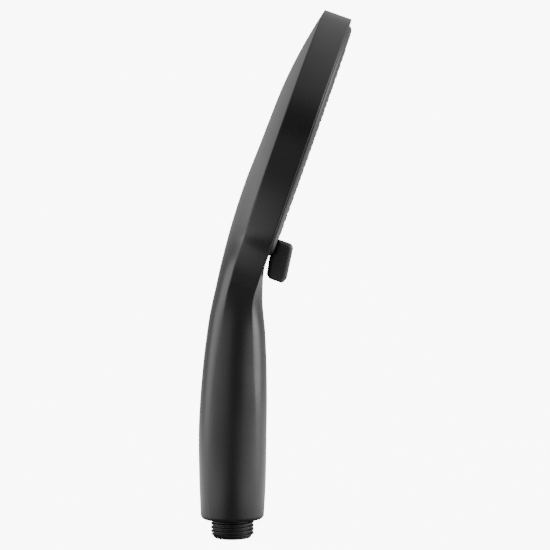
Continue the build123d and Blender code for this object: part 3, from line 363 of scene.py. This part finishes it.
def handle_ring(values):
    """A section of the handle, from one row of its table."""
    height, tilt, back, back_edge, front_edge, front, half_edge, half_side = values
    angle = math.radians(tilt)
    return section_ring(
        lambda forward, across: near_axis(
            forward * math.cos(angle), across, height - forward * math.sin(angle)
        ),
        half_edge,
        half_side,
        lambda across: back_edge - chord_arc(across, half_edge, back_edge - back),
        lambda across: front_edge + chord_arc(across, half_edge, front - front_edge),
        back_edge,
        front_edge,
    )


def head_ring(drop):
    """A section of the neck or the disc."""
    half_width = neck_width(drop)
    return section_ring(
        lambda out, across: on_head(-drop, across, out),
        half_width,
        half_width + SIDE_BULGE,
        lambda across: back_height(drop, across, half_width),
        lambda across: front_height(drop, across, half_width),
        back_edge_height(drop),
        RIM_FRONT,
    )


def foot_rings():
    """The hole for the inlet, then the rounded lower edge of the handle."""
    foot = handle_ring(HANDLE_SECTIONS[0])
    inner = BOTTOM_RADIUS - BOTTOM_ROUND
    profile = [
        (INLET_HOLE_RADIUS, HANDLE_BOTTOM + INLET_HOLE_DEPTH),
        (INLET_HOLE_RADIUS, HANDLE_BOTTOM + INLET_HOLE_EDGE),
        (INLET_HOLE_RADIUS + INLET_HOLE_EDGE, HANDLE_BOTTOM),
        (inner - 0.2, HANDLE_BOTTOM),
        *arc_points((inner, HANDLE_BOTTOM + BOTTOM_ROUND), BOTTOM_ROUND, -90, -8, 7),
    ]
    rings = []
    for radius, height in profile:
        ring = []
        for point in foot:
            flat = Vector((point.x, point.y, 0)).normalized() * radius * MM
            ring.append(Vector((flat.x, flat.y, height * MM)))
        rings.append(ring)
    return rings


def handle_rings(steps=12):
    """The handle, with smooth sections between the rows of its table."""
    rings = []
    last = len(HANDLE_SECTIONS) - 1
    for index in range(last):
        four = [HANDLE_SECTIONS[max(min(index + step, last), 0)] for step in (-1, 0, 1, 2)]
        for step in range(steps):
            rings.append(handle_ring([catmull(column, step / steps) for column in zip(*four)]))
    rings.append(handle_ring(HANDLE_SECTIONS[-1]))
    return rings


def joining_rings(ends, starts, steps=14):
    """Carries one run of rings into the next, point by point."""
    rings = []
    for step in range(1, steps):
        share = step / steps
        ring = []
        for low, leave, arrive, beyond in zip(*ends, *starts):
            span = (arrive - leave).length
            ring.append(
                leave * (2 * share**3 - 3 * share**2 + 1)
                + (leave - low).normalized() * span * (share**3 - 2 * share**2 + share)
                + arrive * (-2 * share**3 + 3 * share**2)
                + (beyond - arrive).normalized() * span * (share**3 - share**2)
            )
        rings.append(ring)
    return rings


def head_rings(flare_steps=16, disc_steps=84):
    """The neck and the flare, then the disc in equal steps of angle."""
    rings = []
    for step in range(flare_steps):
        rings.append(head_ring(FLARE_DROP - (FLARE_DROP - FLARE_START) * step / flare_steps))
    start = math.acos(FLARE_START / RIM_RADIUS)
    end = math.pi - TOP_ANGLE
    for step in range(disc_steps):
        angle = start + (end - start) * step / (disc_steps - 1)
        rings.append(head_ring(RIM_RADIUS * math.cos(angle)))
    return rings


def build_body(material):
    handle = handle_rings()
    joining = joining_rings(handle[-2:], [head_ring(FLARE_DROP), head_ring(FLARE_DROP - 2.0)])
    rings = foot_rings() + handle + joining + head_rings()
    shell = make_object("shell_moulding", solid(rings), "handle", material)
    profile = [
        (OPENING_RADIUS, -OPENING_DEPTH),
        (OPENING_RADIUS, RIM_FRONT - OPENING_ROUND),
        (OPENING_RADIUS + 0.3 * OPENING_ROUND, RIM_FRONT - 0.3 * OPENING_ROUND),
        (OPENING_RADIUS + OPENING_ROUND, RIM_FRONT + 0.4 * OPENING_ROUND),
        (OPENING_RADIUS + OPENING_ROUND, RIM_FRONT + 8.0),
    ]
    cut_away(shell, solid(turned_rings(profile, on_head, RIM_SEGMENTS)), material)
    sharpen(shell, 32)
    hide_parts("body_shell")


# ------------------------------------------------------------ face plate and nozzles
FACE_RADIUS = 59.1
FACE_ROUND = 1.9          # height of the plate's rounded edge
FACE_SLOPE = 3.2          # and how far in it reaches
FACE_SKIN = 1.6
FACE_SKIRT = 6.0
SKIRT_INNER = 57.5
SKIRT_ROUND = 0.3
PLATE_CENTRE = 0.01       # the turned plate closes with a tiny ring
FLAT_COSINE = 0.9999      # faces this square to the normal are shaded flat
NOZZLE_RINGS = {8.0: 6, 15.5: 12, 23.5: 18, 31.5: 24, 39.5: 30, 46.8: 36}
NOZZLE_STAND = 0.3
NOZZLE_HOLE = 1.55
NOZZLE_SEGMENTS = 20


def nozzle_places():
    """Centres of all nozzles, up and across the face."""
    places = []
    for radius, count in NOZZLE_RINGS.items():
        for index in range(count):
            angle = FULL_TURN * (index + 0.5) / count
            places.append((radius * math.cos(angle), radius * math.sin(angle)))
    return places


def at_nozzles(profile):
    """The same small turned shape at every nozzle, as one mesh."""
    bm = bmesh.new()
    for up, across in nozzle_places():
        rings = turned_rings(
            profile, lambda x, y, z: on_head(up + x, across + y, z), NOZZLE_SEGMENTS
        )
        add_solid(bm, rings)
    return bm


def build_face_plate(material):
    edge = []
    for degrees in range(10, 91, 8):
        angle = math.radians(degrees)
        edge.append((FACE_RADIUS - FACE_SLOPE * (1 - math.cos(angle)),
                     -FACE_ROUND + FACE_ROUND * math.sin(angle)))
    profile = [
        (PLATE_CENTRE, -FACE_SKIN),
        (SKIRT_INNER, -FACE_SKIN),
        (SKIRT_INNER, -FACE_SKIRT),
        (FACE_RADIUS - SKIRT_ROUND, -FACE_SKIRT),
        (FACE_RADIUS, -FACE_SKIRT + SKIRT_ROUND),
        (FACE_RADIUS, -2.2),
        *edge,
        (FACE_RADIUS - 6.0, 0.0),
        (PLATE_CENTRE, 0.0),
    ]
    rings = turned_rings(profile, on_head, RIM_SEGMENTS)
    plate = make_object("face_moulding", solid(rings), "spray_face", material)
    hole = [(NOZZLE_HOLE, -FACE_SKIN - 1.0), (NOZZLE_HOLE, -0.15), (NOZZLE_HOLE + 0.35, 0.2)]
    cut_away(plate, at_nozzles(hole), material)
    sharpen(plate, 32)
    for face in plate.data.polygons:
        if abs(face.normal.dot(NORMAL)) > FLAT_COSINE:
            face.use_smooth = False
    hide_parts("face_plate")


def build_nozzles(material):
    """Soft tips that stand a little out of the plate, each with its jet hole."""
    profile = [
        (1.45, -FACE_SKIN - 1.2),
        (1.40, -0.5),
        (1.15, NOZZLE_STAND - 0.3),
        (1.06, NOZZLE_STAND - 0.1),
        (0.93, NOZZLE_STAND),
        (0.66, NOZZLE_STAND),
        (0.52, NOZZLE_STAND - 0.12),
        (0.48, NOZZLE_STAND - 1.8),
    ]
    tips = make_object("nozzle_tips", at_nozzles(profile), "spray_face", material)
    sharpen(tips, 60)
    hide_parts("nozzle_mat")


# --------------------------------------------------------------------------- thumb tab
TAB_WIDTH = 15.0
TAB_SIDE_ROUND = 2.4
TAB_SIDE_STEPS = 6
# Side outline of the tab: drop, height, corner rounding.
TAB_OUTLINE = [
    (49.9, 0.02, 0.1),
    (49.9, 8.1, 2.6),
    (66.5, 10.3, 2.4),
    (69.5, 9.1, 1.6),
    (69.5, 2.4, 1.2),
    (68.0, 0.35, 1.4),
    (59.5, -1.25, 0.4),
    (56.6, 0.0, 0.3),
]
# Line inside the outline that its rounded sides draw in towards.
TAB_HEART = (Vector((54.5, 4.6)), Vector((65.0, 4.9)))


def rounded_outline(corners, steps):
    """Points of a closed outline with each corner replaced by an arc-like curve."""
    points = []
    count = len(corners)
    for index, (x, y, radius) in enumerate(corners):
        corner = Vector((x, y))
        before = Vector(corners[index - 1][:2]) - corner
        after = Vector(corners[(index + 1) % count][:2]) - corner
        angle = before.angle(after)
        length = min(radius / math.tan(angle / 2), before.length * 0.49, after.length * 0.49)
        start = corner + before.normalized() * length
        end = corner + after.normalized() * length
        weight = math.sin(angle / 2)
        for step in range(steps + 1):
            share = step / steps
            parts = ((1 - share) ** 2, 2 * share * (1 - share) * weight, share**2)
            total = sum(parts)
            points.append((start * parts[0] + corner * parts[1] + end * parts[2]) / total)
    return points


def nearest_on_heart(point):
    """The point of the tab's inner line that is closest to a point of its outline."""
    start, end = TAB_HEART
    line = end - start
    share = min(max((point - start).dot(line) / line.length_squared, 0.0), 1.0)
    return start + line * share


def build_tab(material):
    outline = rounded_outline(TAB_OUTLINE, 6)
    inward = [(nearest_on_heart(point) - point).normalized() for point in outline]
    straight = TAB_WIDTH / 2 - TAB_SIDE_ROUND
    layers = [(straight, 0.0)]
    for step in range(1, TAB_SIDE_STEPS + 1):
        angle = math.radians(90 * step / TAB_SIDE_STEPS)
        layers.append((straight + TAB_SIDE_ROUND * math.sin(angle),
                       TAB_SIDE_ROUND * (1 - math.cos(angle))))
    layers = [(-across, inset) for across, inset in reversed(layers)] + layers
    rings = []
    for across, inset in layers:
        moved = [point + way * inset for point, way in zip(outline, inward)]
        rings.append([on_head(-point.x, across, point.y) for point in moved])
    tab = make_object("tab_moulding", solid(rings), "spray_face", material)
    sharpen(tab, 40)
    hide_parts("thumb_tab")


# ------------------------------------------------------------------------------- inlet
THREAD_RADIUS = 20.955 / 2
THREAD_DEPTH = 1.162
THREAD_PITCH = 1.814
THREAD_START = 1.4
THREAD_TURNS = 4
THREAD_END = THREAD_START + THREAD_TURNS * THREAD_PITCH
THREAD_ROOT = THREAD_RADIUS - THREAD_DEPTH
THREAD_ROWS = 112
RUN_OUT = 0.3             # the thread fades from full depth, RUN_IN inside each end,
RUN_IN = 0.5              # to nothing, RUN_OUT past it
CREST_HALF = 0.13         # half width of a crest and length of its flank, in pitches
FLANK = 0.27
INLET_BORE = 7.0
INLET_SEGMENTS = 120
# Spigot above the thread: grooves for the seal and the ring, then the stepped bore.
SPIGOT_PROFILE = [
    (THREAD_ROOT - 0.2, 9.15), (THREAD_ROOT - 0.2, 9.9),
    (10.5, 9.9), (10.7, 10.1), (10.7, 14.0),
    (9.2, 14.0), (9.2, 16.0), (10.7, 16.0), (10.7, 20.6),
    (9.9, 20.6), (9.9, 22.0), (10.7, 22.0), (10.7, 29.7),
    (10.4, 30.0), (4.1, 30.0), (4.1, 22.7), (3.1, 22.7), (3.1, 19.4),
]
# Bore and end face below the thread.
INLET_END_PROFILE = [
    (3.1, 19.4), (INLET_BORE, 19.4), (INLET_BORE, 0.35), (INLET_BORE + 0.35, 0.0),
    (THREAD_ROOT - 0.9, 0.0), (THREAD_ROOT - 0.45, 0.12), (THREAD_ROOT - 0.12, 0.5),
    (THREAD_ROOT, 0.95),
]


def thread_radius(height, turn):
    """Radius of the helical thread at a height and a share of a turn."""
    phase = ((height - THREAD_START) / THREAD_PITCH - turn) % 1.0
    flank = (abs(phase - 0.5) - CREST_HALF) / FLANK
    crest = 1 - smoothstep(flank, 0.0, 1.0)
    fade = smoothstep(height, THREAD_START - RUN_OUT, THREAD_START + RUN_IN)
    fade *= 1 - smoothstep(height, THREAD_END - RUN_IN, THREAD_END + RUN_OUT)
    return THREAD_ROOT + THREAD_DEPTH * crest * fade


def thread_rings():
    low, high = THREAD_START - RUN_OUT, THREAD_END + RUN_OUT
    rings = []
    for row in range(THREAD_ROWS + 1):
        height = low + (high - low) * row / THREAD_ROWS
        ring = []
        for index in range(INLET_SEGMENTS):
            angle = FULL_TURN * index / INLET_SEGMENTS
            radius = thread_radius(height, index / INLET_SEGMENTS)
            ring.append(near_axis(radius * math.cos(angle), radius * math.sin(angle), height))
        rings.append(ring)
    return rings


def build_inlet(material):
    rings = turned_rings(INLET_END_PROFILE, near_axis, INLET_SEGMENTS)
    rings += thread_rings()
    rings += turned_rings(SPIGOT_PROFILE, near_axis, INLET_SEGMENTS)
    bm = bmesh.new()
    bridge_rings(bm, rings)
    bmesh.ops.remove_doubles(bm, verts=bm.verts, dist=WELD)
    inlet = make_object("threaded_inlet", bm, "handle", material)
    sharpen(inlet, 40)
    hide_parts("inlet_connector")


# ------------------------------------------------------------------ check valve spring
SPRING_WIRE = 0.3         # radius of the wire
SPRING_TURNS = 5
SPRING_STEPS = 32         # in a turn
WIRE_SEGMENTS = 10


def build_valve_spring(material):
    """A coil of wire that fills the box of the valve's spring."""
    low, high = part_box("check_valve_spring")
    radius = (high[0] - low[0]) / MM / 2 - SPRING_WIRE
    bottom = low[2] / MM + SPRING_WIRE
    top = high[2] / MM - SPRING_WIRE
    rings = []
    for index in range(SPRING_TURNS * SPRING_STEPS + 1):
        share = index / (SPRING_TURNS * SPRING_STEPS)
        angle = FULL_TURN * SPRING_TURNS * share
        height = bottom + (top - bottom) * share
        ring = []
        for part in range(WIRE_SEGMENTS):
            around = FULL_TURN * part / WIRE_SEGMENTS
            reach = radius + SPRING_WIRE * math.cos(around)
            rise = SPRING_WIRE * math.sin(around)
            ring.append(near_axis(reach * math.cos(angle), reach * math.sin(angle), height + rise))
        rings.append(ring)
    spring = make_object("valve_coil", solid(rings), "handle", material)
    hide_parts("check_valve_spring")
    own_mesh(spring)


# ---------------------------------------------------------------------------- materials
def new_group(name, inputs, outputs):
    group = bpy.data.node_groups.new(name, "ShaderNodeTree")
    for socket_name, value in inputs:
        socket = group.interface.new_socket(
            socket_name, in_out="INPUT", socket_type="NodeSocketFloat"
        )
        socket.default_value = value
    for socket_name in outputs:
        group.interface.new_socket(socket_name, in_out="OUTPUT", socket_type="NodeSocketFloat")
    return group, group.nodes.new("NodeGroupInput"), group.nodes.new("NodeGroupOutput")


def fine_grain_group():
    """Moulded grain: a height for a bump, and a mottle for colour and roughness."""
    group, inside, outside = new_group(
        "fine_grain", [("Grain Scale", 2500.0), ("Mottle Scale", 60.0)], ["Height", "Mottle"]
    )
    place = group.nodes.new("ShaderNodeTexCoord")
    grain = group.nodes.new("ShaderNodeTexNoise")
    grain.inputs["Detail"].default_value = 3.0
    grain.inputs["Roughness"].default_value = 0.6
    mottle = group.nodes.new("ShaderNodeTexNoise")
    mottle.inputs["Detail"].default_value = 4.0
    for noise, scale, result in (
        (grain, "Grain Scale", "Height"),
        (mottle, "Mottle Scale", "Mottle"),
    ):
        group.links.new(place.outputs["Object"], noise.inputs["Vector"])
        group.links.new(inside.outputs[scale], noise.inputs["Scale"])
        group.links.new(noise.outputs["Fac"], outside.inputs[result])
    return group


def edge_highlight_group():
    """A mask that is one on outer edges, where a painted highlight goes."""
    group, inside, outside = new_group("painted_edge_highlight", [("Low", 0.56), ("High", 0.72)], ["Mask"])
    shape = group.nodes.new("ShaderNodeNewGeometry")
    ramp = group.nodes.new("ShaderNodeMapRange")
    group.links.new(shape.outputs["Pointiness"], ramp.inputs["Value"])
    group.links.new(inside.outputs["Low"], ramp.inputs["From Min"])
    group.links.new(inside.outputs["High"], ramp.inputs["From Max"])
    group.links.new(ramp.outputs["Result"], outside.inputs["Mask"])
    return group


FINE_GRAIN = fine_grain_group()
# Mask for a painted highlight on outer edges.
EDGE_HIGHLIGHT = edge_highlight_group()
GRAIN_DEPTH = 0.00005     # metres
HIGHLIGHT_SPAN = 0.16
HIGHLIGHT_OFF = 0.95            # start of the painted edge highlight that no edge reaches


def moulded(name, dark, light, roughness, spread, bump, grain_scale=2500.0, highlight_from=0.56,
            metallic=0.0):
    """Moulded or turned surface: two close colours, uneven gloss, a fine grain and a painted highlight on outer
    edges.
    """
    material = bpy.data.materials.new(name)
    material.use_nodes = True
    nodes = material.node_tree.nodes
    links = material.node_tree.links
    surface = nodes["Principled BSDF"]
    surface.inputs["Metallic"].default_value = metallic
    grain = nodes.new("ShaderNodeGroup")
    grain.node_tree = FINE_GRAIN
    grain.inputs["Grain Scale"].default_value = grain_scale
    # Painted highlight: a mask on outer edges that lightens the colour there.
    highlight = nodes.new("ShaderNodeGroup")
    highlight.node_tree = EDGE_HIGHLIGHT
    highlight.inputs["Low"].default_value = highlight_from
    highlight.inputs["High"].default_value = highlight_from + HIGHLIGHT_SPAN
    colour = nodes.new("ShaderNodeMix")
    colour.data_type = "RGBA"
    colour.inputs["A"].default_value = (*dark, 1)
    colour.inputs["B"].default_value = (*light, 1)
    links.new(grain.outputs["Mottle"], colour.inputs["Factor"])
    # Outer edges take a lighter copy of the colour: a painted edge highlight.
    edge = nodes.new("ShaderNodeMix")
    edge.data_type = "RGBA"
    highlight_colour = [min(1.0, 2.2 * part + 0.01) for part in light]
    edge.inputs["B"].default_value = (*highlight_colour, 1)
    links.new(highlight.outputs["Mask"], edge.inputs["Factor"])
    links.new(colour.outputs["Result"], edge.inputs["A"])
    links.new(edge.outputs["Result"], surface.inputs["Base Color"])
    gloss = nodes.new("ShaderNodeMapRange")
    gloss.inputs["To Min"].default_value = roughness - spread
    gloss.inputs["To Max"].default_value = roughness + spread
    links.new(grain.outputs["Mottle"], gloss.inputs["Value"])
    links.new(gloss.outputs["Result"], surface.inputs["Roughness"])
    relief = nodes.new("ShaderNodeBump")
    relief.inputs["Strength"].default_value = bump
    relief.inputs["Distance"].default_value = GRAIN_DEPTH
    links.new(grain.outputs["Height"], relief.inputs["Height"])
    links.new(relief.outputs["Normal"], surface.inputs["Normal"])
    return material


SATIN_BLACK = moulded("satin_black_plastic", (0.006, 0.006, 0.006), (0.010, 0.010, 0.010),
                      0.29, 0.03, 0.3)
FACE_BLACK = moulded("face_black_plastic", (0.010, 0.010, 0.010), (0.015, 0.015, 0.015),
                     0.42, 0.04, 0.35, highlight_from=HIGHLIGHT_OFF)
INLET_BLACK = moulded("inlet_black_plastic", (0.006, 0.006, 0.006), (0.010, 0.010, 0.010),
                      0.45, 0.05, 0.5)
SOFT_GREY = moulded("soft_grey_silicone", (0.05, 0.05, 0.053), (0.07, 0.07, 0.074),
                    0.55, 0.05, 0.3, 1800.0)
SEAL_RUBBER = moulded("seal_rubber", (0.012, 0.012, 0.012), (0.02, 0.02, 0.02), 0.6, 0.05, 0.4)
ENGINE_GREY = moulded("engine_grey_plastic", (0.29, 0.3, 0.31), (0.35, 0.36, 0.37),
                      0.45, 0.05, 0.3)
WHITE_PLASTIC = moulded("white_plastic", (0.7, 0.7, 0.68), (0.78, 0.78, 0.76), 0.42, 0.05, 0.3)
VALVE_BLUE = moulded("valve_blue_plastic", (0.05, 0.16, 0.36), (0.08, 0.22, 0.44),
                     0.4, 0.05, 0.3)
STEEL = moulded("bright_steel", (0.55, 0.55, 0.56), (0.66, 0.66, 0.67), 0.28, 0.06, 0.5,
                3200.0, metallic=1.0)
BRASS = moulded("turned_brass", (0.62, 0.45, 0.2), (0.75, 0.56, 0.27), 0.3, 0.06, 0.5,
                3200.0, metallic=1.0)
FINISHES = {
    "satin_black": SATIN_BLACK,
    "face_black": FACE_BLACK,
    "inlet_black": INLET_BLACK,
    "soft_grey": SOFT_GREY,
    "seal_rubber": SEAL_RUBBER,
    "engine_plastic": ENGINE_GREY,
    "white_plastic": WHITE_PLASTIC,
    "valve_blue": VALVE_BLUE,
    "steel": STEEL,
    "spindle_brass": BRASS,
}


def finish_cad_nodes():
    """Gives every CAD node the finish of its material slot."""
    for part in frame["record"]["subparts"]:
        node = frame["nodes"][part["node"]]
        node.data.materials.clear()
        node.data.materials.append(FINISHES[part["material_slot"]])


finish_cad_nodes()
build_body(SATIN_BLACK)
build_face_plate(FACE_BLACK)
build_nozzles(SOFT_GREY)
build_tab(FACE_BLACK)
build_inlet(INLET_BLACK)
build_valve_spring(STEEL)


# ------------------------------------------------- floor, light and camera, in metres
WHITE_LEVEL = 9.0         # brightness that the camera sees as white
MIDDLE = Vector((0.021, 0.0, 0.128))
FLOOR_HALF_WIDTH = 2.2
FLOOR_FRONT = -1.6
SWEEP_START = 0.5
SWEEP_RADIUS = 0.4
SWEEP_STEPS = 12
BACKDROP_TOP = 1.4
# The floor's light: its level, a dark strip under the object and how fast the light
# rises beside it, then how it fades behind the object and in front of it.
FLOOR_LEVEL = 1.7
DARK_STRIP = 0.015
BESIDE_RISE = 14.0
BEHIND_FADE = 1.1
BEHIND_LEAST = 0.25
AHEAD_FADE = 5.0
AHEAD_START = 1.4
AHEAD_LEAST = 0.15


def math_nodes(tree):
    """Returns a function that adds one math node; its inputs are numbers or sockets."""

    def work(operation, first, second=None, clamp=False):
        node = tree.nodes.new("ShaderNodeMath")
        node.operation = operation
        node.use_clamp = clamp
        for index, value in enumerate((first, second)):
            if isinstance(value, (int, float)):
                node.inputs[index].default_value = value
            elif value is not None:
                tree.links.new(value, node.inputs[index])
        return node.outputs[0]

    return work


def seen_white(tree, work, level):
    """Leaves a light level as it is, but shows plain white to the camera."""
    path = tree.nodes.new("ShaderNodeLightPath")
    seen = work("MULTIPLY", path.outputs["Is Camera Ray"], WHITE_LEVEL)
    return work("MAXIMUM", level, seen)


def pale_floor():
    """Gives soft light from both sides of the object, and less in front and behind."""
    material = bpy.data.materials.new("pale_floor")
    material.use_nodes = True
    tree = material.node_tree
    work = math_nodes(tree)
    surface = tree.nodes["Principled BSDF"]
    surface.inputs["Base Color"].default_value = (0.12, 0.12, 0.12, 1)
    surface.inputs["Roughness"].default_value = 0.9
    surface.inputs["Emission Color"].default_value = (1, 1, 1, 1)
    place = tree.nodes.new("ShaderNodeNewGeometry")
    apart = tree.nodes.new("ShaderNodeSeparateXYZ")
    tree.links.new(place.outputs["Position"], apart.inputs[0])
    x, y = apart.outputs["X"], apart.outputs["Y"]
    beside = work("SUBTRACT", work("ABSOLUTE", x), DARK_STRIP)
    beside = work("MULTIPLY", beside, BESIDE_RISE, clamp=True)
    behind = work("ADD", work("MULTIPLY", y, -BEHIND_FADE), BEHIND_FADE)
    behind = work("MAXIMUM", work("MINIMUM", behind, 1.0), BEHIND_LEAST)
    ahead = work("ADD", work("MULTIPLY", y, AHEAD_FADE), AHEAD_START, clamp=True)
    ahead = work("MAXIMUM", ahead, AHEAD_LEAST)
    level = work("MULTIPLY", work("MULTIPLY", beside, FLOOR_LEVEL), behind)
    level = work("MULTIPLY", level, ahead)
    level = seen_white(tree, work, level)
    tree.links.new(level, surface.inputs["Emission Strength"])
    return material


def build_stage():
    """A pale floor that sweeps up into a backdrop."""
    profile = [(FLOOR_FRONT, 0.0), (SWEEP_START, 0.0)]
    for step in range(1, SWEEP_STEPS + 1):
        angle = math.radians(90 * step / SWEEP_STEPS)
        profile.append((SWEEP_START + SWEEP_RADIUS * math.sin(angle),
                        SWEEP_RADIUS - SWEEP_RADIUS * math.cos(angle)))
    profile.append((SWEEP_START + SWEEP_RADIUS, BACKDROP_TOP))
    rings = [
        [Vector((-FLOOR_HALF_WIDTH, y, z)), Vector((FLOOR_HALF_WIDTH, y, z))] for y, z in profile
    ]
    bm = bmesh.new()
    bridge_rings(bm, rings, closed=False)
    mesh = bpy.data.meshes.new("floor_sweep")
    bm.to_mesh(mesh)
    bm.free()
    floor = bpy.data.objects.new("floor_sweep", mesh)
    bpy.context.scene.collection.objects.link(floor)
    floor.data.materials.append(pale_floor())


def area_light(name, place, power):
    """A soft light aimed at the middle of the object."""
    light = bpy.data.lights.new(name, "AREA")
    light.shape = "RECTANGLE"
    light.size, light.size_y = 0.5, 0.8
    light.energy = power
    lamp = bpy.data.objects.new(name, light)
    lamp.location = place
    lamp.rotation_euler = (MIDDLE - Vector(place)).to_track_quat("-Z", "Y").to_euler()
    bpy.context.scene.collection.objects.link(lamp)


# The tent's light: a dark opening, given by the cosines of its middle and its edge,
# then the levels of the sides, the lean to the right, the top, the front and the rest.
OPENING_TURN = math.radians(8)
OPENING_WAY = Vector((math.sin(OPENING_TURN), -math.cos(OPENING_TURN), 0))
OPENING_COSINES = (0.996, 0.85)
SIDE_LEVEL = 2.85
SIDE_LEAN = 1.15
TOP_LEVEL = 0.45
FRONT_LEVEL = -0.1
EVEN_LEVEL = 0.4
BACK_LOSS = 0.45


def studio_world():
    """A soft tent of light: an opening in front, brighter at both sides than behind."""
    world = bpy.data.worlds.new("studio")
    bpy.context.scene.world = world
    world.use_nodes = True
    tree = world.node_tree
    work = math_nodes(tree)
    background = tree.nodes["Background"]
    background.inputs["Color"].default_value = (1, 1, 1, 1)
    place = tree.nodes.new("ShaderNodeTexCoord")
    apart = tree.nodes.new("ShaderNodeSeparateXYZ")
    tree.links.new(place.outputs["Generated"], apart.inputs[0])
    x, y, z = apart.outputs["X"], apart.outputs["Y"], apart.outputs["Z"]
    ahead = work("ADD", work("MULTIPLY", x, OPENING_WAY.x), work("MULTIPLY", y, OPENING_WAY.y))
    opening = tree.nodes.new("ShaderNodeMapRange")
    opening.interpolation_type = "SMOOTHSTEP"
    opening.inputs["From Min"].default_value = OPENING_COSINES[0]
    opening.inputs["From Max"].default_value = OPENING_COSINES[1]
    tree.links.new(ahead, opening.inputs["Value"])
    sides = work("MULTIPLY", work("MULTIPLY", x, x),
                 work("ADD", work("MULTIPLY", x, SIDE_LEAN), SIDE_LEVEL))
    above = work("MULTIPLY", work("MAXIMUM", z, 0.0), TOP_LEVEL)
    level = work("ADD", sides, work("MULTIPLY", ahead, FRONT_LEVEL))
    level = work("ADD", work("ADD", level, above), EVEN_LEVEL)
    behind = work("MULTIPLY", work("MAXIMUM", y, 0.0), BACK_LOSS)
    level = work("MULTIPLY", level, work("SUBTRACT", 1.0, behind))
    level = work("MULTIPLY", level, opening.outputs["Result"])
    level = seen_white(tree, work, level)
    tree.links.new(level, background.inputs["Strength"])


def add_camera():
    """Level, square to the side of the object."""
    lens = bpy.data.cameras.new("camera")
    lens.lens = 96.5
    lens.sensor_width = 36.0
    camera = bpy.data.objects.new("camera", lens)
    camera.location = (0.0208, -0.72, 0.128)
    camera.rotation_euler = (math.radians(90), 0, 0)
    bpy.context.scene.collection.objects.link(camera)
    bpy.context.scene.camera = camera


build_stage()
area_light("left_soft_light", (-0.9, 0.0, 0.35), 2.0)
area_light("right_soft_light", (0.95, 0.0, 0.35), 4.0)
studio_world()
add_camera()

bpy.context.view_layer.update()
